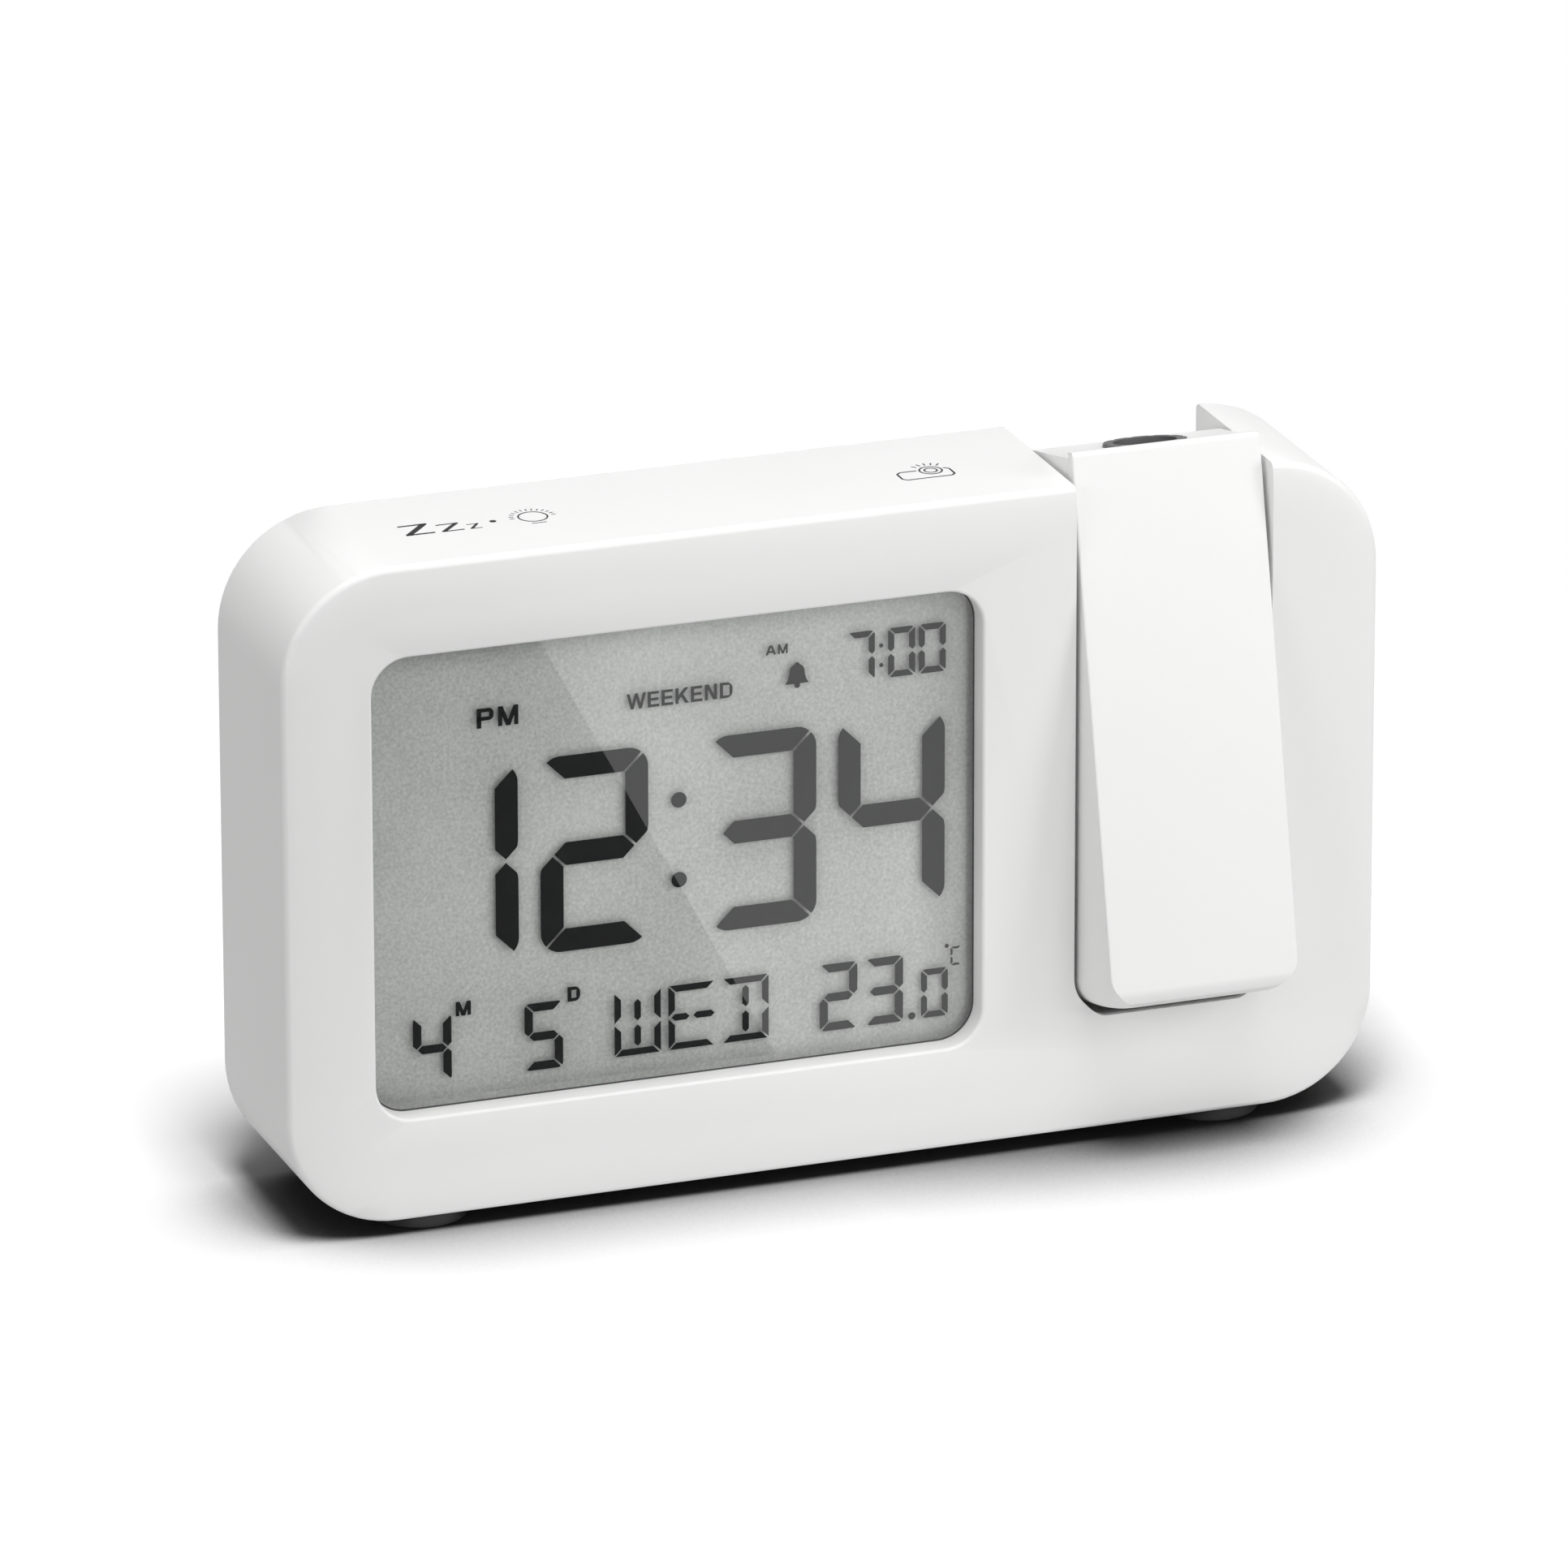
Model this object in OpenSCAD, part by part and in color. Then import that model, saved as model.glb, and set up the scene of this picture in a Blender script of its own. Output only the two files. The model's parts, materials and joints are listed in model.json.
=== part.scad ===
// Projection alarm clock: a slim case with a recessed display, and a projector arm that
// swings out of a slot at the right. +X is to the right, the screen faces -Y and +Z is up.
// The origin is on the table, below the middle of the clock with its arm as it is drawn.

/* [Case] */
// Width of the case
case_w = 150; // [140:1:180]
// Height of the case without its feet
case_h = 89; // [84:1:110]
// Depth of the case from front to back
case_d = 27.3; // [27:0.1:36]
// Radius of the case's four corners, seen from the front
corner_r = 15; // [12:0.5:20]
// Rounding of the edge round the front
front_round = 1; // [0.8:0.1:3]
// Radius of the soft bend between the flat front and its rounded edge
crown_r = 35; // [20:1:60]
// Angle by which that bend turns away from the flat front
crown_turn = 8; // [2:1:10]
// Rounding of the edge round the back
back_round = 1; // [0.4:0.1:1.2]
// Thickness of the side, top and bottom walls
wall = 2.2; // [1.8:0.1:2.8]
// Thickness of the front wall
front_t = 2.4; // [2:0.1:3]

/* [Rear cover] */
// Thickness of the rear cover
cover_t = 2; // [1.6:0.1:2.4]
// Gap between the rear cover and the case round it
cover_gap = 0.15; // [0.1:0.05:0.3]
// How far the cover lies below the rim of the case
cover_sink = 0.2; // [0:0.05:0.4]

/* [Screen] */
// Distance from the right of the screen opening to the arm's slot
screen_right = 12.8; // [12.6:0.1:20]
// Height of the screen opening
screen_h = 62.8; // [54:0.2:64]
// Distance from the left side of the case to the opening
screen_left = 12; // [11:0.5:14]
// Distance from the bottom of the case to the opening
screen_low = 14; // [13.5:0.5:16]
// Corner radius of the opening
screen_r = 5; // [2:0.5:8]
// Rounding of the opening's front edge
screen_edge_r = 0.5; // [0.2:0.1:0.8]
// Depth of the window below the front face
screen_deep = 3.3; // [3:0.1:3.6]
// Thickness of the clear window
window_t = 1; // [0.8:0.1:1.4]
// How far the window reaches behind the rim of the opening
window_lap = 1.3; // [0.8:0.1:1.4]
// Thickness of the liquid crystal panel
lcd_t = 2.2; // [1.8:0.1:2.6]
// Thickness of the light guide behind the panel
guide_t = 2.5; // [2:0.1:3]

/* [Projector arm] */
// Width of the arm
arm_w = 26.1; // [24:0.1:28]
// Gap at each side of the arm in its slot
arm_gap = 0.6; // [0.4:0.1:1]
// Width of the part of the case to the right of the slot
ear_w = 14.9; // [13.5:0.1:18]
// Radius of the round head about the pivot
head_r = 13.5; // [12.5:0.1:14.5]
// Height of the ridge along the front of the head's flat top
head_ridge = 0.8; // [0.4:0.1:1]
// Gap between the head and its seat in the case
seat_gap = 0.7; // [0.5:0.1:1.2]
// Thickness of the leg from front to back
leg_t = 15; // [14:0.5:16]
// Distance from the bottom of the case to the end of the slot
slot_low = 14.9; // [14:0.1:20]
// Gap between the end of the leg and the end of the slot
end_gap = 0.6; // [0.5:0.1:2.5]
// Gap between the back of the closed leg and its recess
recess_gap = 0.9; // [0.6:0.1:1.5]
// Corner radius at the free end of the leg, seen from the front
leg_corner_r = 4.2; // [2:0.1:6]
// Rounding of the lower front edge of the leg
leg_round = 2.4; // [1:0.1:3]
// Wall thickness of the arm
arm_wall = 1.6; // [1.4:0.1:2]
// Angle by which the arm stands open as drawn
arm_tilt = 12.7; // [0:0.1:40]
// Diameter of the pivot pins
pin_d = 5; // [4:0.1:5.5]
// Wall of the nylon bushes on the pins
bush_t = 1; // [0.8:0.1:1.2]
// Running clearance between pin and bush
pin_fit = 0.06; // [0.03:0.01:0.1]

/* [Projector optics] */
// Outer diameter of the fixed optics tube
tube_d = 11; // [10.6:0.1:11]
// Outer diameter of the sliding lens barrel
barrel_d = 8.2; // [7.6:0.1:8.4]
// Length of the sliding lens barrel
barrel_l = 13; // [10:0.5:16]
// Distance from the front of the arm to the optical axis
optics_y = 7.8; // [7.6:0.1:7.9]
// Length of the fixed optics tube
tube_l = 35; // [30:0.5:38]

/* [Rear keys] */
// Number of keys in the row
key_count = 5; // [5:1:5]
// Distance from one key to the next
key_pitch = 14; // [12:0.5:15]
// Width of a key
key_w = 9; // [7:0.5:10]
// Height of a key
key_h = 5; // [4:0.5:6]
// How far a key stands proud of the rear cover
key_proud = 0.8; // [0.5:0.1:1]
// Travel of a key
key_travel = 0.6; // [0.3:0.1:0.7]

/* [Battery bay] */
// Diameter of a cell
cell_d = 10.5; // [9.8:0.1:10.8]
// Length of a cell
cell_l = 44.5; // [42:0.5:45.5]
// Length of the compressed contact spring
spring_l = 4.5; // [3.5:0.1:5]
// Height of the middle of the bay above the case's bottom
bay_z = 36; // [32:0.5:40]
// Distance from the left side of the case to the middle of the bay
bay_left = 49; // [40:0.5:55]

/* [Feet] */
// Diameter of a rubber foot
foot_d = 10; // [8:0.5:11]
// Height of a foot below the case
foot_h = 2; // [1.5:0.1:3]
// Distance from each side of the case to a foot's middle
foot_side = 20; // [16:0.5:30]
// Distance from the front or the back of the case to a foot's middle
foot_in = 8; // [7:0.25:9]

/* [Hidden] */
$fn = 64;

white = [0.93, 0.93, 0.93];
arm_white = [0.95, 0.95, 0.95];
lcd_grey = [0.66, 0.67, 0.65];
rubber_grey = [0.22, 0.22, 0.22];
board_green = [0.10, 0.36, 0.20];
steel_grey = [0.72, 0.72, 0.74];
nickel = [0.78, 0.76, 0.70];
copper = [0.80, 0.50, 0.30];
black = [0.08, 0.08, 0.08];
clear = [0.85, 0.92, 0.95, 0.4];

// Overlap that fuses two forms of one piece, overrun of a cut, and the least rounding.
eps = 0.01;
through = 1;
min_round = 0.3;

// Case: places of its faces, from the middle of its width, its front face and its bottom.
left_x = -case_w / 2;
right_x = case_w / 2;
inner_r = corner_r - wall;
cover_in = case_d - cover_sink - cover_t;
cover_out = case_d - cover_sink;

// Slot for the arm and the channel walls round it.
slot_w = arm_w + 2 * arm_gap;
arm_x = right_x - ear_w - slot_w / 2;
channel_t = 1.8;
pivot_y = case_d - head_r;
pivot_z = case_h - head_r;
seat_r = head_r + seat_gap;
slot_r = pivot_z - slot_low;
leg_r = slot_r - end_gap;
slot_corner_r = leg_corner_r + arm_gap;
recess_y = leg_t + recess_gap;
sill_d = 4;
sill_z = pivot_z - sqrt(pow(seat_r + channel_t, 2) - pow(cover_in - pivot_y, 2));

// Screen opening and the stack of pieces behind it, each resting on the one before.
screen_x0 = left_x + screen_left;
screen_x1 = arm_x - slot_w / 2 - screen_right;
screen_z0 = screen_low;
screen_z1 = screen_low + screen_h;
pad_w = 2.4;
window_y = screen_deep;
frame_y = window_y + window_t;
lcd_gap = 0.1;
lcd_y = frame_y + lcd_gap;
lcd_lap = 1.2;
lcd_top_lap = 1;
lcd_ledge = 3;
guide_y = lcd_y + lcd_t + lcd_gap;
frame_wall = 1;
lcd_x0 = screen_x0 - lcd_lap;
lcd_x1 = screen_x1 + lcd_lap;
lcd_z0 = screen_z0 - lcd_ledge;
lcd_z1 = screen_z1 + lcd_top_lap;
frame_x0 = lcd_x0 - lcd_gap - frame_wall;
frame_x1 = lcd_x1 + lcd_gap + frame_wall;
frame_z0 = lcd_z0 - lcd_gap - frame_wall;
frame_z1 = lcd_z1 + lcd_gap + frame_wall;
board_gap = 1.5;
board_y = guide_y + guide_t + board_gap;
board_t = 1.6;
strip_t = 2;
strip_in = 6;
led_t = 0.6;
led_w = 3;
led_h = 1.6;
led_pitch = 13;
led_board_t = 0.8;
led_board_over = 1.3;
led_board_in = 12;

// Main board, held by four posts outside the panel's frame.
post_d = 4;
post_gap = 1.3;
post_rim = 2.3;
post_x0 = frame_x0 - post_d / 2 - post_gap;
post_x1 = frame_x1 + post_d / 2 + post_gap;
post_up = 8;
post_down = 7;
post_low = screen_z0 + post_up;
post_high = screen_z1 - post_down;
board_x0 = post_x0 - post_rim;
board_x1 = post_x1 + post_rim;
board_z0 = frame_z0 + 0.6;
board_z1 = frame_z1 - 1.6;
board_notch_x = 9;
board_notch_z = 5;
small_screw_d = 2;
small_head_d = 3.6;
small_head_t = 1;
small_screw_l = 5;
pilot_fit = 0.02;
hole_fit = 0.1;
slot_share = 0.6;
screw_slot = 0.5;

// Chips behind the board: left, bottom, width, height and thickness of each, and the middles
// of two capacitors, all from the lower right corner of the screen opening.
chips = [[-25, 40, 10, 10, 1.4], [-9, 26, 5, 4, 1.2], [-36, 41, 7, 3, 2.4]];
capacitors = [[-8, 43], [-8, 36]];
capacitor_d = 5;
capacitor_l = 5;

// Foil plates of the two touch areas under the top wall.
foil_t = 0.3;
foil_d = 13;
tongue_w = 4;
tongue_lap = 3;
snooze_in = 19;
snooze_x = screen_x0 + snooze_in;
snooze_w = 24;
projector_pad_in = 4;
projector_pad_x = screen_x1 - projector_pad_in;
projector_pad_w = 12;

// Arm as it is drawn: the foremost point of its tilted leg sets where the clock's middle is.
round_y = leg_round - pivot_y;
round_z = -sqrt(pow(leg_r - leg_round, 2) - pow(round_y, 2));
arm_front_y = pivot_y + round_y * cos(arm_tilt) + round_z * sin(arm_tilt) - leg_round;
back_y = cover_out + key_proud;
middle_y = (arm_front_y + back_y) / 2;

// Arm: inside faces, cover plate and edge roundings.
arm_edge_r = 0.3;
top_edge_r = 0.4;
head_ridge_t = 1.4;
arm_in_w = arm_w - 2 * arm_wall;
leg_front_z = pivot_z - sqrt(pow(leg_r, 2) - pow(pivot_y, 2));
plate_top = pivot_z - head_r - 0.5;
plate_low = leg_front_z + arm_wall + 2.4;
plate_corner_r = 2;
plate_fit = 0.1;
arm_screw_low = plate_low + 2.4;
arm_screw_down = 4;
arm_screw_high = plate_top - arm_screw_down;
arm_screw_deep = 6;
arm_boss_d = 4.2;
arm_boss_x = arm_in_w / 2 - arm_boss_d / 2 + 0.3;

// Pivot: pin through the channel wall, washer in the gap, bush in the arm's flank.
pin_head_rim = 1.5;
pin_head_d = pin_d + 2 * pin_head_rim;
pin_head_t = 1.2;
pin_hollow_d = 2.4;
bush_reach = 2;
bush_stand = 0.1;
bush_boss_t = 1.2;
bush_l = arm_wall + bush_reach;
bush_d = pin_d + 2 * pin_fit + 2 * bush_t;
washer_rim = 1.5;
washer_d = bush_d + 2 * washer_rim;
washer_t = arm_gap - 0.1;
washer_fit = 0.05;
boss_t = 1.6;

// Optics, from the top of the closed arm downwards.
ring_fit = 0.1;
ring_d = tube_d;
ring_flange = 0.5;
ring_flange_t = 1.4;
ring_proud = 0.4;
grip_count = 12;
grip_d = 1;
grip_out = 0.15;
ring_bore_d = barrel_d + 2 * ring_fit;
tube_top = case_h - arm_wall - ring_fit - ring_flange_t - ring_fit;
tube_bore_d = barrel_d + 2 * ring_fit;
barrel_top = case_h - 0.6;
barrel_bore_d = barrel_d - 1.6;
barrel_stop = 0.5;
lens_seat_t = 0.8;
lens_pocket = 2;
lens_base_t = 1;
lens_crown = 0.9;
lens_fit = 0.05;
lamp_board_w = 11;
lamp_board_d = 10;
lamp_board_t = 1.2;
lamp_fit = 0.3;
lamp_d = 4;
lamp_t = 2.4;
condenser_t = 2.6;
condenser_ball = 6;
condenser_rise = 4.5;
image_rise = 11;
image_t = 1.2;
image_side = tube_bore_d * cos(45) - 2 * lens_fit;
optic_shelf = 0.8;
tube_foot = tube_top - tube_l;

// Rear keys: a row in the upper left of the back, seen from the front.
key_down = 21;
key_in = 17;
key_z = case_h - key_down;
key_x0 = left_x + key_in;
key_fit = 0.2;
key_flange = 1;
key_flange_t = 1.2;
key_rest_gap = 0.2;
key_stem_d = 3;
key_stem_l = 0.8;
key_back = cover_in - key_rest_gap - key_flange_t - key_stem_l;
switch_gap = 0.1;
switch_y = key_back - key_travel - switch_gap;
switch_side = 6;
switch_t = 3.4;
plunger_d = 3.4;
plunger_t = 1;
key_board_t = 1.2;
key_board_y = switch_y - plunger_t - switch_t - key_board_t;
key_board_h = 13;
key_board_rim = 2.8;
key_post_gap = 0.5;
key_post_out = key_w / 2 + key_flange + key_post_gap + post_d / 2;
key_post_x0 = key_x0 - key_post_out;
key_post_x1 = key_x0 + (key_count - 1) * key_pitch + key_post_out;

// Battery bay in the rear cover: two cells above each other, in opposite directions.
bay_x = left_x + bay_left;
contact_t = 0.5;
cell_fit = 0.25;
bay_w = cell_l + spring_l + 2 * contact_t + cell_fit;
bay_h = 2 * cell_d + 3 * cell_fit;
bay_floor = cover_in - cell_d - 2 * cell_fit;
bay_wall = 1.2;
door_lap = 1.6;
door_fit = 0.15;
door_w = bay_w + 2 * door_lap;
door_h = bay_h + 2 * door_lap;
door_corner_r = 2;
door_t = 1.6;
door_ledge_t = 1.2;
door_y = cover_out - door_t;
tab_w = 8;
tab_t = 1;
tab_l = 2;
grip_rib_w = 10;
grip_rib_h = 0.6;
grip_rib_proud = 0.3;
grip_rib_pitch = 1.2;
nub_d = 3.8;
nub_l = 0.8;
coil_r = 3.2;
coil_step = 0.45;
coil_turns = 4;
wire_d = 0.7;
plate_side = 9;
cell_y = cover_in - cell_fit - cell_d / 2;
cell_lift = cell_d / 2 + cell_fit / 2;

// Buzzer, socket and sensor on the rear cover.
buzzer_d = 20;
buzzer_t = 3.8;
buzzer_hole_d = 6;
buzzer_ring_t = 1.2;
buzzer_ring_h = 2.5;
buzzer_fit = 0.1;
buzzer_gap = 6;
buzzer_down = 2;
buzzer_x = bay_x + bay_w / 2 + bay_wall + buzzer_d / 2 + buzzer_gap;
buzzer_z = bay_z - buzzer_down;
sound_pitch = 3;
sound_h = 1.2;
sound_half = 8;
sound_step = 1.5;
usb_w = 7.5;
usb_h = 2.6;
usb_d = 5.6;
usb_r = 0.7;
usb_shell = 0.3;
usb_sink = 0.2;
usb_fit = 0.4;
usb_drop = 1.2;
usb_z = slot_low - channel_t - usb_drop - usb_h / 2;
usb_board_w = 12;
usb_board_d = 9;
usb_board_t = 1;
shelf_t = 1.2;
shelf_h = 1.6;
vent_in = 16;
vent_x = left_x + vent_in;
vent_z = 20;
vent_l = 7;
vent_h = 1.2;
vent_pitch = 2.6;
sensor_d = 2.4;
sensor_l = 6;
sensor_fit = 0.05;
sensor_gap = 0.3;
sensor_down = 4.7;
sensor_z = vent_z - sensor_down;
clip_t = 1;
clip_h = 2.6;
clip_out = 1.8;
clip_lip = 0.4;

// Screws that hold the rear cover, one boss in each corner and one below the screen.
cover_boss_d = 5;
cover_boss_in = 7.9;
cover_screw_d = 2.2;
cover_head_d = 4;
cover_head_t = 1.2;
cover_screw_l = 9;
mid_boss_gap = 4;
mid_boss_x = frame_x1 + mid_boss_gap;

// Feet, glued into shallow pockets.
foot_pocket = 0.6;
foot_fit = 0.15;
foot_edge_r = 1.6;

function cover_screw_places() = [
    [left_x + cover_boss_in, cover_boss_in],
    [left_x + cover_boss_in, case_h - cover_boss_in],
    [right_x - cover_boss_in, cover_boss_in],
    [right_x - cover_boss_in, case_h - cover_boss_in],
    [mid_boss_x, cover_boss_in]
];

function board_screw_places() = [
    for (x = [post_x0, post_x1], z = [post_low, post_high]) [x, z]
];

function key_screw_places() = [for (x = [key_post_x0, key_post_x1]) [x, key_z]];

function arm_screw_places() = [
    [0, arm_screw_low],
    [-arm_boss_x, arm_screw_high],
    [arm_boss_x, arm_screw_high]
];

// ---- helpers ----

// Stands the clock on its feet, with the middle of its outline over the origin.
module stand() {
    translate([0, -middle_y, foot_h]) children();
}

// Extrudes a front-view outline (x, z) backwards from depth y0 to depth y1.
module depth(y0, y1) {
    translate([0, y1, 0]) rotate([90, 0, 0]) linear_extrude(y1 - y0) children();
}

// Extrudes a side-view outline (y, z) across a width w about x.
module across(x, w) {
    translate([x - w / 2, 0, 0]) rotate([90, 0, 90]) linear_extrude(w) children();
}

// Upright cylinder along Y, from depth y0 to depth y1, about (x, z).
module rod_y(x, z, y0, y1, d) {
    translate([x, y1, z]) rotate([90, 0, 0]) cylinder(h = y1 - y0, d = d);
}

// Rectangle with true round corners, from its lower left to its upper right corner.
module round_rect(x0, z0, x1, z1, r) {
    translate([x0 + r, z0]) square([x1 - x0 - 2 * r, z1 - z0]);
    translate([x0, z0 + r]) square([x1 - x0, z1 - z0 - 2 * r]);
    for (x = [x0 + r, x1 - r], z = [z0 + r, z1 - r]) translate([x, z]) circle(r);
}

// Section through the rim of a slab: outwards along x, from the front backwards along y. The
// flat front turns away in a wide arc, which runs on smoothly into the rounded edge.
module rim_section(r, d, front, back) {
    edge_x = r - front;
    flat_x = edge_x - (crown_r - front) * sin(crown_turn);
    edge_y = crown_r - (crown_r - front) * cos(crown_turn);
    square([flat_x, d - back]);
    intersection() {
        translate([flat_x, crown_r]) circle(crown_r);
        translate([flat_x - eps, 0]) square([crown_r * sin(crown_turn) + eps, edge_y + eps]);
    }
    translate([edge_x, edge_y]) circle(front);
    translate([0, edge_y]) square([r, d - back - edge_y]);
    translate([0, d - back - eps]) square([r - back, back + eps]);
    translate([r - back, d - back]) circle(back);
}

// Slab with round corners in the front view and rounded front and back edges.
module slab(w, h, d, r, front, back) {
    half_w = w / 2 - r;
    half_h = h / 2 - r;
    corners = [[half_w, -half_h], [-half_w, -half_h], [-half_w, half_h], [half_w, half_h]];
    for (k = [0:3]) {
        translate([corners[k][0], 0, corners[k][1]])
            rotate([0, 90 * k, 0])
                rotate([-90, 0, 0])
                    rotate_extrude(angle = 90) rim_section(r, d, front, back);
    }
    for (k = [0:3]) {
        out = k % 2 == 0 ? half_w : half_h;
        run = k % 2 == 0 ? half_h : half_w;
        rotate([0, 90 * k, 0])
            translate([out, 0, -run])
                linear_extrude(2 * run) rim_section(r, d, front, back);
    }
    translate([-half_w, 0, -half_h]) cube([2 * half_w, d, 2 * half_h]);
}

// Turns the arm about its pivot to the angle at which it stands open.
module arm_pose() {
    translate([arm_x, pivot_y, pivot_z])
        rotate([-arm_tilt, 0, 0])
            translate([0, -pivot_y, -pivot_z]) children();
}

// ---- case ----

module case_form() {
    translate([0, 0, case_h / 2])
        slab(case_w, case_h, case_d, corner_r, front_round, back_round);
}

module case_cavity() {
    depth(front_t, case_d + through)
        round_rect(left_x + wall, wall, right_x - wall, case_h - wall, inner_r);
}

// Wheel about the pivot with rounded edges on its rim: it gives the leg, its slot and the
// walls round the slot ends that keep their distance as the arm turns.
module pivot_wheel(x, w, r, edge_r) {
    translate([x, pivot_y, pivot_z]) rotate([0, 90, 0]) rotate_extrude() {
        translate([0, -w / 2]) square([r - edge_r, w]);
        translate([0, -w / 2 + edge_r]) square([r, w - 2 * edge_r]);
        for (side = [-1, 1]) {
            translate([r - edge_r, side * (w / 2 - edge_r)]) circle(edge_r);
        }
    }
}

// Side view of the space that the arm swings in, before the wheel gives it its end.
module channel_void() {
    translate([pivot_y, pivot_z]) circle(seat_r);
    translate([-through, pivot_z]) square([case_d + 2 * through, head_r + through]);
    translate([-through, 0]) square([recess_y + through, pivot_z]);
}

// Side view of the walls round that space.
module channel_walls() {
    intersection() {
        translate([pivot_y, pivot_z]) circle(seat_r + channel_t);
        square([case_d, case_h]);
    }
    translate([0, pivot_z]) square([case_d, head_r]);
    translate([case_d - sill_d, sill_z]) square([sill_d, pivot_z - sill_z]);
    square([recess_y + channel_t, pivot_z]);
}

module screen_outline(grow) {
    round_rect(screen_x0 - grow, screen_z0 - grow, screen_x1 + grow, screen_z1 + grow,
        screen_r + grow);
}

// What the rounding of the opening's front edge takes away, one side and one corner at a time.
module screen_edge() {
    mid_x = (screen_x0 + screen_x1) / 2;
    mid_z = (screen_z0 + screen_z1) / 2;
    half_w = (screen_x1 - screen_x0) / 2 - screen_r;
    half_h = screen_h / 2 - screen_r;
    corners = [[half_w, -half_h], [-half_w, -half_h], [-half_w, half_h], [half_w, half_h]];
    translate([mid_x, 0, mid_z]) for (k = [0:3]) {
        out = k % 2 == 0 ? half_w : half_h;
        run = k % 2 == 0 ? half_h : half_w;
        translate([corners[k][0], 0, corners[k][1]])
            rotate([0, 90 * k, 0])
                rotate([-90, 0, 0])
                    rotate_extrude(angle = 90) screen_edge_section();
        rotate([0, 90 * k, 0])
            translate([out, 0, -run]) linear_extrude(2 * run) screen_edge_section();
    }
}

module screen_edge_section() {
    difference() {
        translate([screen_r - eps, -through])
            square([screen_edge_r + eps, screen_edge_r + through]);
        translate([screen_r + screen_edge_r, screen_edge_r]) circle(screen_edge_r);
    }
}

module case_shell() color(white) difference() {
    union() {
        difference() {
            case_form();
            case_cavity();
        }
        intersection() {
            case_form();
            across(arm_x, slot_w + 2 * channel_t) channel_walls();
            pivot_wheel(arm_x, slot_w + 2 * channel_t, slot_r + channel_t,
                slot_corner_r + channel_t);
        }
        depth(front_t - eps, screen_deep) screen_outline(pad_w);
        for (p = cover_screw_places()) {
            rod_y(p[0], p[1], front_t - eps, cover_in, cover_boss_d);
        }
        for (p = board_screw_places()) {
            rod_y(p[0], p[1], front_t - eps, board_y, post_d);
        }
        for (side = [-1, 1]) {
            pin_boss(side);
        }
    }
    depth(-through, screen_deep + through) screen_outline(0);
    screen_edge();
    intersection() {
        across(arm_x, slot_w) channel_void();
        pivot_wheel(arm_x, slot_w, slot_r, slot_corner_r);
    }
    translate([arm_x - slot_w / 2 - channel_t - boss_t - through, pivot_y, pivot_z])
        rotate([0, 90, 0])
            cylinder(h = slot_w + 2 * (channel_t + boss_t + through), d = pin_d);
    for (p = cover_screw_places()) {
        rod_y(p[0], p[1], cover_in - cover_screw_l, cover_in + through, cover_screw_d);
    }
    for (p = board_screw_places()) {
        rod_y(p[0], p[1], board_y - small_screw_l, board_y + through, small_screw_d);
    }
    for (p = foot_places()) {
        translate([p[0], p[1], -through]) cylinder(h = through + foot_pocket, d = foot_d + 2 * foot_fit);
    }
}

// Boss that carries a pivot pin, on the far side of the channel wall.
module pin_boss(side) {
    start = side > 0 ? slot_w / 2 + channel_t - eps : -slot_w / 2 - channel_t - boss_t;
    translate([arm_x + start, pivot_y, pivot_z])
        rotate([0, 90, 0]) cylinder(h = boss_t + eps, d = pin_head_d + 1);
}

// ---- rear cover ----

module cover_outline(gap) {
    difference() {
        round_rect(left_x + wall + gap, wall + gap, right_x - wall - gap,
            case_h - wall - gap, inner_r - gap);
        translate([arm_x - slot_w / 2 - channel_t - gap, sill_z - gap])
            square([slot_w + 2 * (channel_t + gap), case_h]);
    }
}

module bay_outline(grow) {
    translate([bay_x - bay_w / 2 - grow, bay_z - bay_h / 2 - grow])
        square([bay_w + 2 * grow, bay_h + 2 * grow]);
}

module door_outline(gap) {
    round_rect(bay_x - door_w / 2 - gap, bay_z - door_h / 2 - gap, bay_x + door_w / 2 + gap,
        bay_z + door_h / 2 + gap, door_corner_r);
}

module key_outline(k, grow) {
    x = key_x0 + k * key_pitch;
    round_rect(x - key_w / 2 - grow, key_z - key_h / 2 - grow, x + key_w / 2 + grow,
        key_z + key_h / 2 + grow, key_h / 2 + grow - eps);
}

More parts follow.
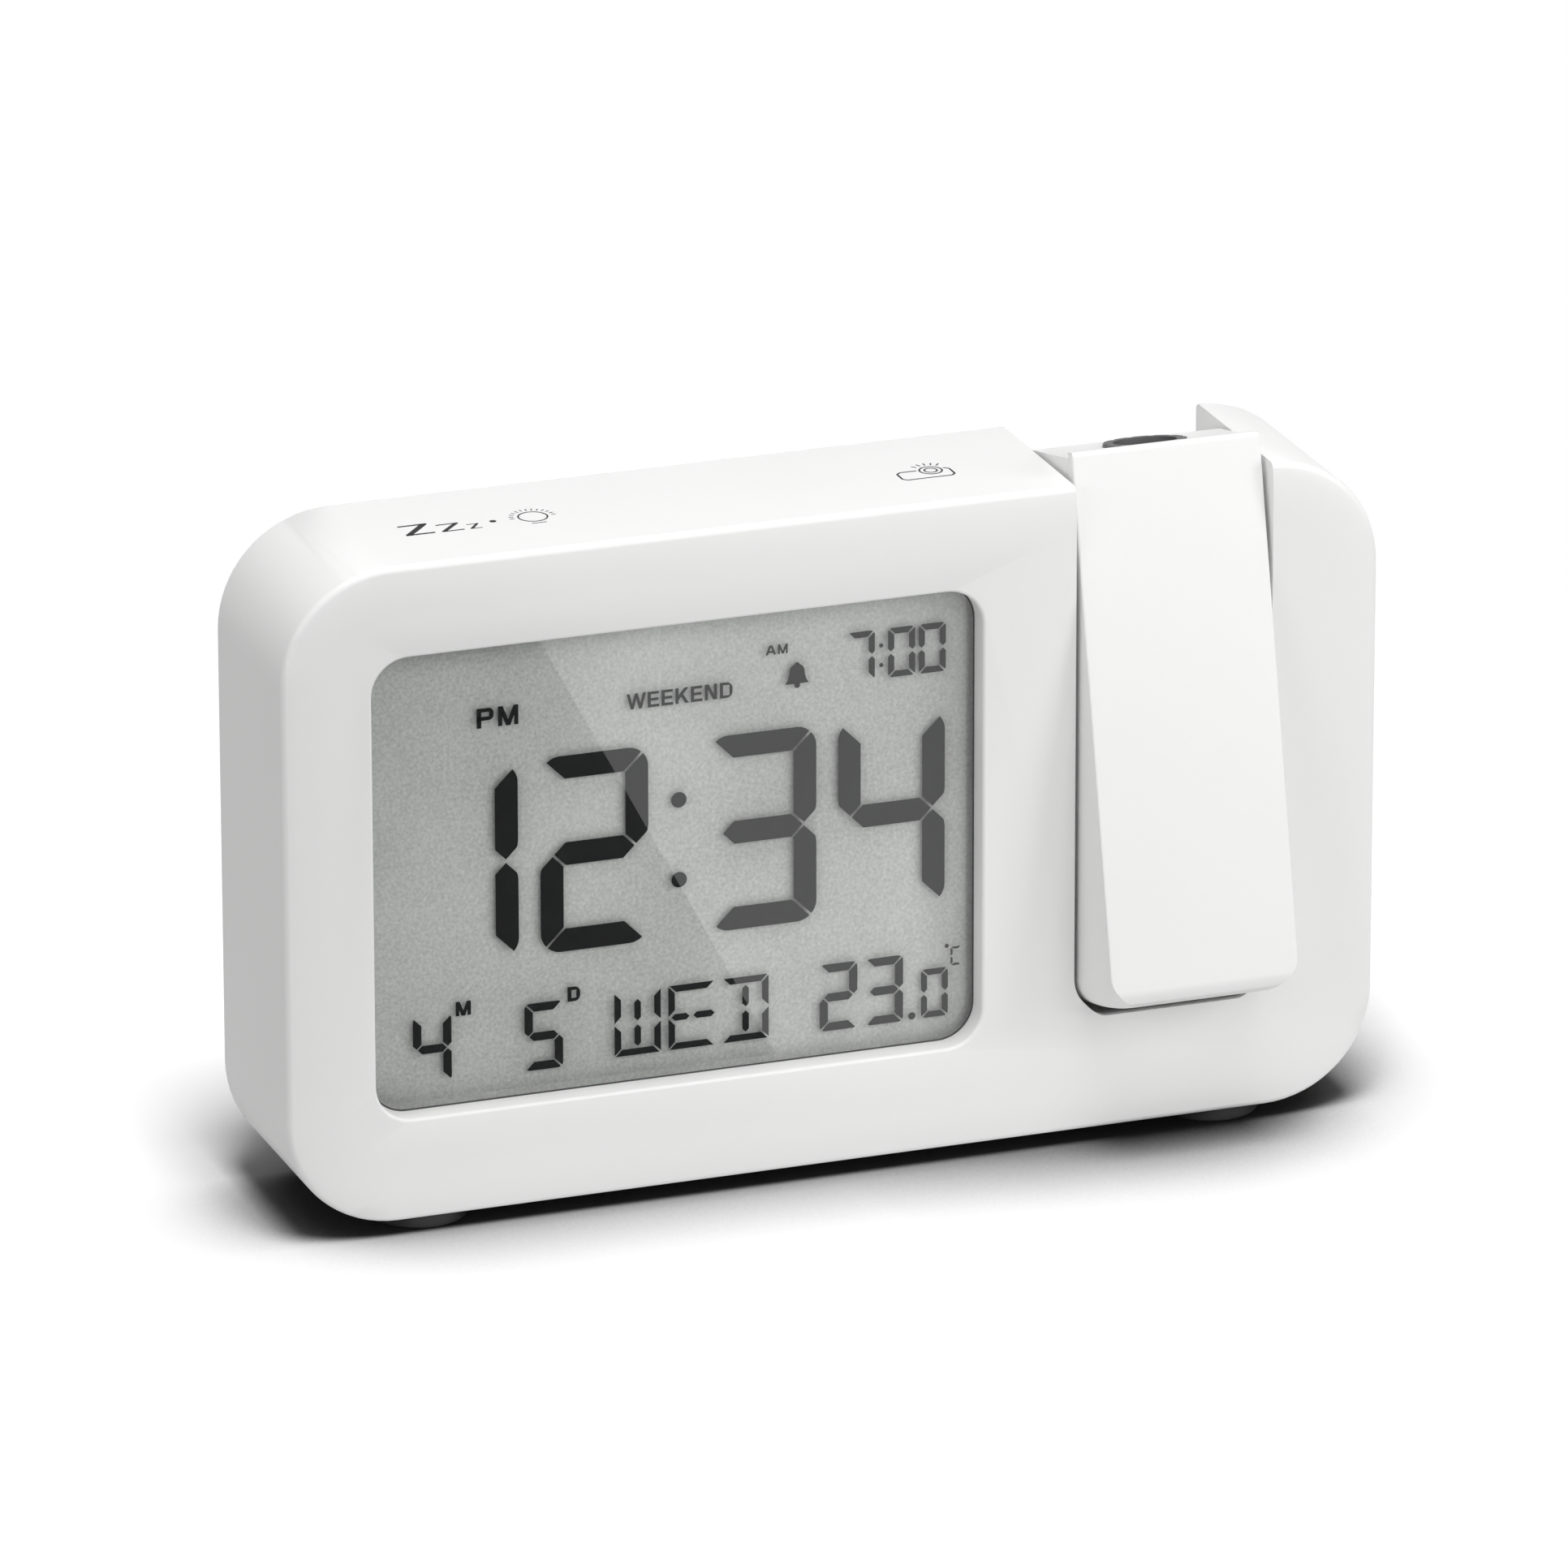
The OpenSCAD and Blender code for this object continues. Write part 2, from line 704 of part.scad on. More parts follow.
module rear_cover() color(white) difference() {
    union() {
        depth(cover_in, cover_out) cover_outline(cover_gap);
        depth(bay_floor - bay_wall, cover_in + eps) bay_outline(bay_wall);
        depth(door_y - door_ledge_t, cover_in + eps) door_outline(door_fit + bay_wall);
        rod_y(buzzer_x, buzzer_z, cover_in - buzzer_ring_h, cover_in + eps,
            buzzer_d + 2 * (buzzer_fit + buzzer_ring_t));
        for (p = key_screw_places()) {
            rod_y(p[0], p[1], key_board_y + key_board_t, cover_in + eps, post_d);
        }
        sensor_clips();
        usb_shelves();
    }
    depth(bay_floor, cover_out + through) bay_outline(0);
    depth(door_y, cover_out + through) door_outline(door_fit);
    rod_y(buzzer_x, buzzer_z, cover_in - buzzer_ring_h - through, cover_in,
        buzzer_d + 2 * buzzer_fit);
    for (k = [0:key_count - 1]) {
        depth(cover_in - through, cover_out + through) key_outline(k, key_fit);
    }
    for (k = [-2:2]) {
        cover_slot(buzzer_x, buzzer_z + sound_pitch * k, 2 * (sound_half - abs(k) * sound_step),
            sound_h);
    }
    for (k = [-1:1]) {
        cover_slot(vent_x, vent_z + vent_pitch * k, vent_l, vent_h);
    }
    depth(cover_in - through, cover_out + through) usb_outline(usb_fit);
    for (p = cover_screw_places()) {
        rod_y(p[0], p[1], cover_in - through, cover_out + through, cover_screw_d + 2 * hole_fit);
        rod_y(p[0], p[1], cover_out - cover_head_t, cover_out + through,
            cover_head_d + 3 * hole_fit);
    }
    for (p = key_screw_places()) {
        rod_y(p[0], p[1], key_board_y, key_board_y + small_screw_l + through, small_screw_d);
    }
}

// Slot with round ends through the cover, about (x, z).
module cover_slot(x, z, w, h) {
    depth(cover_in - through, cover_out + through)
        round_rect(x - w / 2, z - h / 2, x + w / 2, z + h / 2, h / 2 - eps);
}

// Front-view outline of the power socket's metal shell.
module usb_outline(grow) {
    round_rect(arm_x - usb_w / 2 - grow, usb_z - usb_h / 2 - grow, arm_x + usb_w / 2 + grow,
        usb_z + usb_h / 2 + grow, max(usb_r + grow, min_round));
}

// Two forked ribs that grip the temperature sensor behind its vents.
module sensor_clips() {
    for (side = [-1, 1]) {
        translate([vent_x + side * clip_out - clip_t / 2, cover_in - sensor_d - 2 * sensor_gap,
            sensor_z - clip_h / 2])
            difference() {
                cube([clip_t, sensor_d + 2 * sensor_gap + eps, clip_h]);
                translate([-through, sensor_d / 2 + sensor_gap, clip_h / 2])
                    rotate([0, 90, 0]) cylinder(h = clip_t + 2 * through, d = sensor_d);
                translate([-through, -through, clip_h / 2 - sensor_d / 2 + clip_lip])
                    cube([clip_t + 2 * through, through + sensor_d / 2 + sensor_gap,
                        sensor_d - 2 * clip_lip]);
            }
    }
}

// Ribs under the small board that carries the power socket.
module usb_shelves() {
    z = usb_z - usb_h / 2 - usb_board_t;
    for (side = [-1, 1]) {
        translate([arm_x + side * (usb_board_w - shelf_t) / 2 - shelf_t / 2,
            cover_in - usb_board_d, z - shelf_h])
            cube([shelf_t, usb_board_d + eps, shelf_h]);
    }
}

// Door of the bay: two tabs hook behind the ledge, and three ribs give the thumb a grip.
module battery_door() color(white) {
    depth(door_y, cover_out) door_outline(0);
    for (side = [-1, 1]) {
        translate([bay_x + side * bay_w / 4 - tab_w / 2, door_y - tab_l,
            bay_z - bay_h / 2 + door_fit])
            cube([tab_w, tab_l + eps, tab_t]);
    }
    for (k = [0:2]) {
        translate([bay_x - grip_rib_w / 2, cover_out - eps,
            bay_z + bay_h / 2 - (k + 1) * grip_rib_pitch])
            cube([grip_rib_w, grip_rib_proud + eps, grip_rib_h]);
    }
}

// ---- behind the screen ----

module screen_window() color(clear)
    depth(window_y, window_y + window_t) screen_outline(window_lap);

module lcd_panel() color(lcd_grey) {
    half = lcd_t / 2;
    depth(lcd_y, lcd_y + half) translate([lcd_x0, lcd_z0 + lcd_ledge - 0.4])
        square([lcd_x1 - lcd_x0, lcd_z1 - lcd_z0 - lcd_ledge + 0.4]);
    depth(lcd_y + half, lcd_y + lcd_t) translate([lcd_x0, lcd_z0])
        square([lcd_x1 - lcd_x0, lcd_z1 - lcd_z0]);
}

module lcd_frame() color(white) difference() {
    depth(frame_y, board_y) round_rect(frame_x0, frame_z0, frame_x1, frame_z1, 0.8);
    depth(frame_y - through, board_y + through)
        translate([lcd_x0 - lcd_gap, lcd_z0 - lcd_gap])
            square([lcd_x1 - lcd_x0 + 2 * lcd_gap, lcd_z1 - lcd_z0 + 2 * lcd_gap]);
}

module light_guide() color(clear) {
    low = lcd_z0 + strip_t + 1;
    depth(guide_y, guide_y + guide_t) translate([lcd_x0, low])
        square([lcd_x1 - led_board_t - led_t - 0.3 - lcd_x0, lcd_z1 - low]);
}

module backlight_board() color(white) {
    translate([lcd_x1 - led_board_t, guide_y, screen_z0 + led_board_in])
        cube([led_board_t, guide_t + led_board_over, screen_h - 2 * led_board_in]);
}

module backlight_leds() color("ivory") {
    for (k = [-1:1]) {
        translate([lcd_x1 - led_board_t - led_t, guide_y + (guide_t - led_h) / 2,
            (screen_z0 + screen_z1 - led_w) / 2 + led_pitch * k])
            cube([led_t, led_h, led_w]);
    }
}

module contact_strip() color(black) {
    translate([lcd_x0 + strip_in, lcd_y + lcd_t, lcd_z0 + 0.4])
        cube([lcd_x1 - lcd_x0 - 2 * strip_in, board_y - lcd_y - lcd_t, strip_t]);
}

module main_board() color(board_green) difference() {
    depth(board_y, board_y + board_t) difference() {
        translate([board_x0, board_z0]) square([board_x1 - board_x0, board_z1 - board_z0]);
        for (x = [board_x0, board_x1], z = [board_z0, board_z1]) {
            translate([x, z]) square([2 * board_notch_x, 2 * board_notch_z], center = true);
        }
    }
    for (p = board_screw_places()) {
        rod_y(p[0], p[1], board_y - through, board_y + board_t + through,
            small_screw_d + 2 * hole_fit);
    }
}

// Controller, memory, crystal and capacitors on the back of the main board.
module board_chips() color(black) {
    y = board_y + board_t;
    for (c = chips) {
        translate([screen_x1 + c[0], y, screen_z0 + c[1]]) cube([c[2], c[4], c[3]]);
    }
    for (c = capacitors) {
        rod_y(screen_x1 + c[0], screen_z0 + c[1], y, y + capacitor_l, capacitor_d);
    }
}

// Foil plate under the top wall, with a tongue that reaches down to the main board.
module touch_pad(x, w) {
    top = case_h - wall;
    low = board_z1 - tongue_lap;
    translate([x - w / 2, (case_d - foil_d) / 2, top - foil_t]) cube([w, foil_d, foil_t]);
    translate([x - tongue_w / 2, board_y + board_t, low])
        cube([tongue_w, foil_t, top - low - foil_t / 2]);
}

module touch_pad_snooze() color(copper) touch_pad(snooze_x, snooze_w);

module touch_pad_projector() color(copper) touch_pad(projector_pad_x, projector_pad_w);

// ---- on the rear cover ----

module key_board() color(board_green) difference() {
    depth(key_board_y, key_board_y + key_board_t)
        translate([key_post_x0 - key_board_rim, key_z - key_board_h / 2])
            square([key_post_x1 - key_post_x0 + 2 * key_board_rim, key_board_h]);
    for (p = key_screw_places()) {
        rod_y(p[0], p[1], key_board_y - through, key_board_y + key_board_t + through,
            small_screw_d + 2 * hole_fit);
    }
}

module key_switches() color(black) {
    for (k = [0:key_count - 1]) {
        x = key_x0 + k * key_pitch;
        translate([x - switch_side / 2, key_board_y + key_board_t, key_z - switch_side / 2])
            cube([switch_side, switch_t, switch_side]);
        rod_y(x, key_z, switch_y - plunger_t - eps, switch_y, plunger_d);
    }
}

// One rear key, with a flange that keeps it in its hole and a stem over its switch.
module rear_key(k) color(rubber_grey) {
    depth(cover_in - key_rest_gap - eps, cover_out + key_proud) key_outline(k, 0);
    depth(cover_in - key_rest_gap - key_flange_t, cover_in - key_rest_gap)
        key_outline(k, key_flange);
    rod_y(key_x0 + k * key_pitch, key_z, key_back, cover_in - key_rest_gap - key_flange_t + eps,
        key_stem_d);
}

module buzzer() color(black) difference() {
    rod_y(buzzer_x, buzzer_z, cover_in - buzzer_t, cover_in, buzzer_d);
    rod_y(buzzer_x, buzzer_z, cover_in - 1, cover_in + through, buzzer_hole_d);
}

// Conical spring: a few true rings that shrink towards the cell, on a stem.
module battery_springs() color(nickel) {
    rise = (spring_l - wire_d) / (coil_turns - 1);
    for (side = [-1, 1]) {
        x = bay_x + side * (bay_w / 2 - contact_t);
        translate([x, cell_y, bay_z + side * cell_lift]) rotate([0, -side * 90, 0]) {
            for (k = [0:coil_turns - 1]) {
                translate([0, 0, wire_d / 2 + k * rise])
                    rotate_extrude() translate([coil_r - coil_step * k, 0])
                        circle(d = wire_d, $fn = 24);
            }
            for (k = [0:coil_turns - 2]) {
                translate([coil_r - coil_step * (k + 0.5), 0, wire_d / 2 + k * rise])
                    cylinder(h = rise, d = wire_d, $fn = 24);
            }
        }
    }
}

// Sheet contacts on the end walls of the bay, one behind each spring and each cell's nub.
module battery_plates() color(nickel) {
    for (side = [-1, 1], half = [-1, 1]) {
        x = side > 0 ? bay_x + bay_w / 2 - contact_t : bay_x - bay_w / 2;
        translate([x, cell_y - plate_side / 2, bay_z + half * cell_lift - plate_side / 2])
            cube([contact_t, plate_side, plate_side]);
    }
}

module battery_cells() color("silver") {
    for (side = [-1, 1]) {
        translate([bay_x - side * (bay_w / 2 - contact_t), cell_y, bay_z + side * cell_lift])
            rotate([0, side * 90, 0]) {
                translate([0, 0, nub_l]) cylinder(h = cell_l - nub_l, d = cell_d);
                cylinder(h = nub_l + eps, d = nub_d);
            }
    }
}

module power_board() color(board_green) {
    translate([arm_x - usb_board_w / 2, cover_in - usb_board_d, usb_z - usb_h / 2 - usb_board_t])
        cube([usb_board_w, usb_board_d - hole_fit, usb_board_t]);
}

module usb_socket() color(steel_grey) difference() {
    depth(cover_out - usb_sink - usb_d, cover_out - usb_sink) usb_outline(0);
    depth(cover_out - usb_sink - usb_d + through, cover_out + through) usb_outline(-usb_shell);
}

module temperature_sensor() color(black) {
    translate([vent_x - sensor_l / 2, cover_in - sensor_d / 2 - sensor_gap, sensor_z])
        rotate([0, 90, 0]) cylinder(h = sensor_l, d = sensor_d - 2 * sensor_fit);
}

// ---- fasteners and feet ----

// Pan-head screw along Y: the head's outer face at depth y, its thread forwards.
module screw_y(x, z, y, head_d, head_t, d, l) {
    difference() {
        union() {
            rod_y(x, z, y - head_t, y, head_d);
            rod_y(x, z, y - head_t - l, y - head_t + eps, d);
        }
        for (turn = [0, 90]) {
            translate([x, y, z]) rotate([0, turn, 0])
                cube([head_d * slot_share, head_t, screw_slot], center = true);
        }
    }
}

module cover_screws() color(steel_grey) {
    for (p = cover_screw_places()) {
        screw_y(p[0], p[1], cover_out - hole_fit, cover_head_d, cover_head_t - hole_fit,
            cover_screw_d - pilot_fit, cover_screw_l - 1);
    }
}

module board_screws() color(steel_grey) {
    for (p = board_screw_places()) {
        screw_y(p[0], p[1], board_y + board_t + small_head_t, small_head_d, small_head_t,
            small_screw_d - pilot_fit, small_screw_l);
    }
    for (p = key_screw_places()) {
        translate([p[0], key_board_y, p[1]]) mirror([0, 1, 0])
            screw_y(0, 0, small_head_t, small_head_d, small_head_t, small_screw_d - pilot_fit,
                small_screw_l);
    }
}

function foot_places() = [
    for (y = [foot_in, case_d - foot_in], x = [left_x + foot_side, right_x - foot_side]) [x, y]
];

// Rubber foot, glued into a shallow pocket, with a rounded lower edge.
module foot(k) color(rubber_grey) {
    p = foot_places()[k];
    translate([p[0], p[1], -foot_h]) rotate_extrude() {
        square([foot_d / 2 - foot_edge_r, foot_h + foot_pocket]);
        translate([0, foot_edge_r]) square([foot_d / 2, foot_h + foot_pocket - foot_edge_r]);
        intersection() {
            translate([foot_d / 2 - foot_edge_r, foot_edge_r]) circle(foot_edge_r);
            square([foot_d, foot_h]);
        }
    }
}

// ---- pivot ----

// Hollow shouldered pin, pressed into the channel wall from inside the case.
module pivot_pin(side) color(steel_grey) {
    length = boss_t + channel_t + arm_gap + bush_l;
    translate([arm_x + side * (slot_w / 2 + channel_t + boss_t), pivot_y, pivot_z])
        rotate([0, -side * 90, 0]) difference() {
            union() {
                translate([0, 0, -pin_head_t]) cylinder(h = pin_head_t, d = pin_head_d);
                cylinder(h = length, d = pin_d);
            }
            translate([0, 0, -pin_head_t - through])
                cylinder(h = length + pin_head_t + 2 * through, d = pin_hollow_d);
        }
}

module friction_washers() color(steel_grey) {
    for (side = [-1, 1]) {
        translate([arm_x + side * (slot_w / 2), pivot_y, pivot_z])
            rotate([0, -side * 90, 0]) difference() {
                cylinder(h = washer_t, d = washer_d);
                translate([0, 0, -through])
                    cylinder(h = washer_t + 2 * through, d = pin_d + 2 * washer_fit);
            }
    }
}

module arm_bushes() color("beige") arm_pose() {
    for (side = [-1, 1]) {
        translate([side * arm_w / 2, pivot_y, pivot_z])
            rotate([0, -side * 90, 0]) difference() {
                cylinder(h = bush_l, d = bush_d);
                translate([0, 0, -through])
                    cylinder(h = bush_l + 2 * through, d = pin_d + 2 * pin_fit);
            }
    }
}

// ---- projector arm ----

// Side view of the arm, closed: a round head, a flat top and front, and a curved end.
module arm_profile(inset) {
    r = head_r - inset;
    corner = max(top_edge_r - inset, min_round);
    translate([pivot_y, pivot_z]) circle(r);
    translate([inset + corner, pivot_z]) square([pivot_y - inset - corner, r]);
    translate([inset, pivot_z]) square([pivot_y - inset, r - corner]);
    translate([inset + corner, pivot_z + r - corner]) circle(corner);
    difference() {
        intersection() {
            translate([inset, 0]) square([leg_t - 2 * inset, pivot_z + eps]);
            translate([pivot_y, pivot_z]) circle(leg_r - inset);
        }
        leg_sharp_corner(inset);
    }
    translate([low_y(inset), low_z(inset)]) circle(low_round(inset));
}

// Rounding of the lower front edge at a depth below the skin: its radius and its middle.
function low_round(inset) = max(leg_round - inset, min_round);

function low_y(inset) = inset + low_round(inset);

function low_z(inset) =
    pivot_z - sqrt(pow(leg_r - low_y(inset), 2) - pow(pivot_y - low_y(inset), 2));

// The sharp lower front corner of the leg, cut away down to where its rounding starts.
module leg_sharp_corner(inset) {
    y = low_y(inset);
    z = low_z(inset);
    slope = asin((pivot_y - y) / (leg_r - y));
    intersection() {
        translate([inset - through, z - leg_t]) square([low_round(inset) + through, leg_t]);
        translate([y, z]) rotate(-slope) translate([-leg_t, -leg_t]) square(leg_t);
    }
}

// Top view of the arm: rounded long edges at the front.
module arm_top_outline() {
    half = arm_w / 2;
    r = arm_edge_r;
    translate([-half, r]) square([2 * half, case_d]);
    translate([-half + r, 0]) square([2 * half - 2 * r, r + eps]);
    for (side = [-1, 1]) translate([side * (half - r), r]) circle(r);
}

module arm_form() {
    intersection() {
        across(0, arm_w) {
            arm_profile(0);
            translate([0, pivot_z]) square([head_ridge_t, head_r + head_ridge]);
        }
        pivot_wheel(0, arm_w, leg_r, leg_corner_r);
        linear_extrude(case_h + through) arm_top_outline();
    }
}

module arm_case() color(arm_white) arm_pose() difference() {
    union() {
        difference() {
            arm_form();
            intersection() {
                across(0, arm_in_w) arm_profile(arm_wall);
                pivot_wheel(0, arm_in_w, leg_r - arm_wall,
                    max(leg_corner_r - arm_wall, min_round));
            }
        }
        for (p = arm_screw_places()) {
            rod_y(p[0], p[1], arm_wall - eps, leg_t - arm_wall, arm_boss_d);
        }
        for (side = [-1, 1]) {
            arm_pin_boss(side);
        }
    }
    depth(leg_t - arm_wall - eps, leg_t + through) back_outline(0);
    translate([-arm_w / 2 - through, pivot_y, pivot_z])
        rotate([0, 90, 0]) cylinder(h = arm_w + 2 * through, d = bush_d);
    translate([0, optics_y, case_h - arm_wall - through])
        cylinder(h = arm_wall + 2 * through, d = ring_d + 2 * ring_fit);
    for (p = arm_screw_places()) {
        rod_y(p[0], p[1], leg_t - arm_wall - arm_screw_deep, leg_t, small_screw_d);
    }
}

module arm_pin_boss(side) {
    length = bush_reach - bush_stand;
    start = side > 0 ? arm_in_w / 2 - length : -arm_in_w / 2 - eps;
    translate([start, pivot_y, pivot_z])
        rotate([0, 90, 0]) cylinder(h = length + eps, d = bush_d + 2 * bush_boss_t);
}

// Front view of the opening in the back of the leg, which the cover plate fills.
module back_outline(gap) {
    round_rect(-arm_in_w / 2 + gap, plate_low + gap, arm_in_w / 2 - gap, plate_top - gap,
        plate_corner_r);
}

module arm_back() color(arm_white) arm_pose() difference() {
    depth(leg_t - arm_wall, leg_t) back_outline(plate_fit);
    for (p = arm_screw_places()) {
        rod_y(p[0], p[1], 0, case_d, small_screw_d + 2 * hole_fit);
        rod_y(p[0], p[1], leg_t - small_head_t, case_d, small_head_d + 2 * hole_fit);
    }
}

module arm_screws() color(steel_grey) arm_pose() {
    for (p = arm_screw_places()) {
        screw_y(p[0], p[1], leg_t - hole_fit, small_head_d, small_head_t - hole_fit,
            small_screw_d - pilot_fit, small_screw_l);
    }
}

// ---- optics in the arm, drawn closed ----

module optics_tube() color(black) arm_pose() translate([0, optics_y, 0]) difference() {
    translate([0, 0, tube_foot]) cylinder(h = tube_l, d = tube_d);
    translate([0, 0, tube_foot + optic_shelf])
        cylinder(h = tube_l, d = tube_bore_d);
    translate([0, 0, tube_foot - through])
        cylinder(h = optic_shelf + 2 * through, d = lamp_d + 2 * lamp_fit);
}

module lamp_board() color(board_green) arm_pose() {
    translate([-lamp_board_w / 2, optics_y - lamp_board_d / 2, tube_foot - lamp_board_t])
        cube([lamp_board_w, lamp_board_d, lamp_board_t]);
}

module projector_lamp() color("ivory") arm_pose() {
    translate([0, optics_y, tube_foot]) cylinder(h = lamp_t, d = lamp_d);
}

module condenser_lens() color(clear) arm_pose() {
    translate([0, optics_y, tube_foot + condenser_rise]) {
        cylinder(h = condenser_t / 2, d = tube_bore_d - 2 * lens_fit);
        translate([0, 0, condenser_t / 2]) intersection() {
            cylinder(h = condenser_t, d = tube_bore_d - 2 * lens_fit);
            translate([0, 0, -condenser_ball]) sphere(r = condenser_ball + condenser_t);
        }
    }
}

module image_panel() color(lcd_grey) arm_pose() {
    translate([-image_side / 2, optics_y - image_side / 2, tube_foot + image_rise])
        cube([image_side, image_side, image_t]);
}

module lens_barrel() color(black) arm_pose() translate([0, optics_y, 0]) difference() {
    translate([0, 0, barrel_top - barrel_l]) cylinder(h = barrel_l, d = barrel_d);
    translate([0, 0, barrel_top - barrel_l - through])
        cylinder(h = barrel_l + 2 * through, d = barrel_bore_d - 2 * barrel_stop);
    translate([0, 0, barrel_top - lens_seat_t - lens_pocket])
        cylinder(h = lens_seat_t + lens_pocket + through, d = barrel_bore_d);
}

// Plano-convex projection lens, seated in the top of the barrel.
module projection_lens() color(clear) arm_pose() {
    half = barrel_bore_d / 2 - lens_fit;
    ball = (half * half + lens_crown * lens_crown) / (2 * lens_crown);
    translate([0, optics_y, barrel_top - lens_seat_t - lens_pocket]) {
        cylinder(h = lens_base_t, r = half);
        translate([0, 0, lens_base_t]) intersection() {
            cylinder(h = lens_crown + eps, r = half);
            translate([0, 0, lens_crown - ball]) sphere(r = ball);
        }
    }
}

// Focus ring: turns in the top of the arm and screws the barrel in and out.
module focus_ring() color(rubber_grey) arm_pose() translate([0, optics_y, 0]) difference() {
    union() {
        translate([0, 0, tube_top + ring_fit])
            cylinder(h = case_h + ring_proud - tube_top - ring_fit, d = ring_d);
        translate([0, 0, tube_top + ring_fit])
            cylinder(h = ring_flange_t, d = ring_d + 2 * ring_flange);
    }
    translate([0, 0, tube_top - through])
        cylinder(h = case_h + ring_proud - tube_top + 2 * through, d = ring_bore_d);
    for (k = [0:grip_count - 1]) {
        rotate([0, 0, k * 360 / grip_count])
            translate([ring_d / 2 + grip_out, 0, case_h + 2 * ring_fit])
                cylinder(h = through, d = grip_d, $fn = 16);
    }
}

stand() case_shell();
stand() rear_cover();
stand() screen_window();
stand() lcd_panel();
stand() lcd_frame();
stand() light_guide();
stand() backlight_board();
stand() backlight_leds();
stand() contact_strip();
stand() main_board();
stand() board_chips();
stand() touch_pad_snooze();
stand() touch_pad_projector();
stand() key_board();
stand() key_switches();
stand() buzzer();
stand() battery_springs();
stand() battery_plates();
stand() battery_cells();
stand() battery_door();
stand() power_board();
stand() usb_socket();
stand() temperature_sensor();
stand() cover_screws();
stand() board_screws();
stand() foot(0);  // foot_front_left
stand() foot(1);  // foot_front_right
stand() foot(2);  // foot_rear_left
stand() foot(3);  // foot_rear_right
stand() pivot_pin(-1);  // pivot_pin_left
stand() pivot_pin(1);  // pivot_pin_right
stand() friction_washers();
stand() arm_case();
stand() arm_back();
stand() arm_screws();
stand() arm_bushes();
stand() optics_tube();
stand() lamp_board();
stand() projector_lamp();
stand() condenser_lens();
stand() image_panel();
stand() lens_barrel();
stand() projection_lens();
stand() focus_ring();
stand() rear_key(0);  // key_1
stand() rear_key(1);  // key_2
stand() rear_key(2);  // key_3
stand() rear_key(3);  // key_4
stand() rear_key(4);  // key_5
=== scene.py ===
# %% [markdown]
# # A projection alarm clock
# The clock is a white moulded case with a liquid crystal display, four rubber feet and a short
# arm that swings out of a slot in the front. The lamp and lens for the wall picture sit in the
# arm's head. The engineering model gives every part its true size and place in metres. This file
# dresses that model: it rounds the moulded edges, builds the display and the printed signs, and
# gives each part a finish.

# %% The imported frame
import json
import math

import bpy
from mathutils import Matrix, Vector


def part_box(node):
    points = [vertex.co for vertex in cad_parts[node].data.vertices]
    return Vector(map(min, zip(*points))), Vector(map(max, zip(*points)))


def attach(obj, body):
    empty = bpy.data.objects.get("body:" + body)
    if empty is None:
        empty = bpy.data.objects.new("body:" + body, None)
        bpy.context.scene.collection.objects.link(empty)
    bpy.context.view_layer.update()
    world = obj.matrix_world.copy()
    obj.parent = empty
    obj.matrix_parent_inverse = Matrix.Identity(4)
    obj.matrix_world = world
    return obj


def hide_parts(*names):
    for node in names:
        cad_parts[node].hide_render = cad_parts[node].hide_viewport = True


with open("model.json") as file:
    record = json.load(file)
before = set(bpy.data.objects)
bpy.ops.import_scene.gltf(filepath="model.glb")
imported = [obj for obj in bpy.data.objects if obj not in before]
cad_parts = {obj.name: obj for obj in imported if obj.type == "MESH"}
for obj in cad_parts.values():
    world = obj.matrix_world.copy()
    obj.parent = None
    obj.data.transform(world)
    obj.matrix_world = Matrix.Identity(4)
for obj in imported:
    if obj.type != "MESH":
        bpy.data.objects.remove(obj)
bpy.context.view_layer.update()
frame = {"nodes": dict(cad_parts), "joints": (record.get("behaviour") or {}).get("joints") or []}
mm = 0.001

# %% [markdown]
# Operators act on whatever is selected, so each step starts from a clean selection. These small
# helpers select one object, open it for editing and print the size it has in millimetres.


# %% Small helpers
def choose(*objects):
    """Selects these objects and nothing else."""
    bpy.ops.object.select_all(action="DESELECT")
    for thing in objects:
        thing.select_set(True)
    bpy.context.view_layer.objects.active = objects[0]


def edit(thing):
    """Opens one object for editing with all of its mesh selected."""
    choose(thing)
    bpy.ops.object.mode_set(mode="EDIT")
    bpy.ops.mesh.select_all(action="SELECT")


def done():
    """Closes the object that is being edited."""
    bpy.ops.object.mode_set(mode="OBJECT")


def measure(thing):
    """Prints a piece's lowest and highest corners in millimetres."""
    spots = [corner.co for corner in thing.data.vertices]
    low = [round(min(s[i] for s in spots) / mm, 2) for i in range(3)]
    high = [round(max(s[i] for s in spots) / mm, 2) for i in range(3)]
    print(f"{thing.name}: {len(thing.data.polygons)} faces, {low} to {high} mm")


def into_mesh(thing):
    """Moves the object's place into its mesh, as every finished piece has it."""
    choose(thing)
    bpy.ops.object.transform_apply(location=True, rotation=True, scale=True)


# %% [markdown]
# Many pieces are placed by where others lie. These are the corners of the case and the place of
# the arm's hinge, read from the frame.

# %% The case and the hinge
case_low, case_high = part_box("case_shell")
hinges = {joint["name"]: joint["pos_m"] for joint in frame["joints"] if joint["type"] == "hinge"}
hinge_x, hinge_y, hinge_z = hinges["arm_hinge"]
print("the arm turns about", [round(v / mm, 2) for v in (hinge_x, hinge_y, hinge_z)])

# %% [markdown]
# The camera is far away with a long lens, so that the upright edges stay nearly parallel. It
# looks from the clock's left and a little from above. The three columns are the directions to
# the right of the picture, up the picture, and out of it towards the viewer.

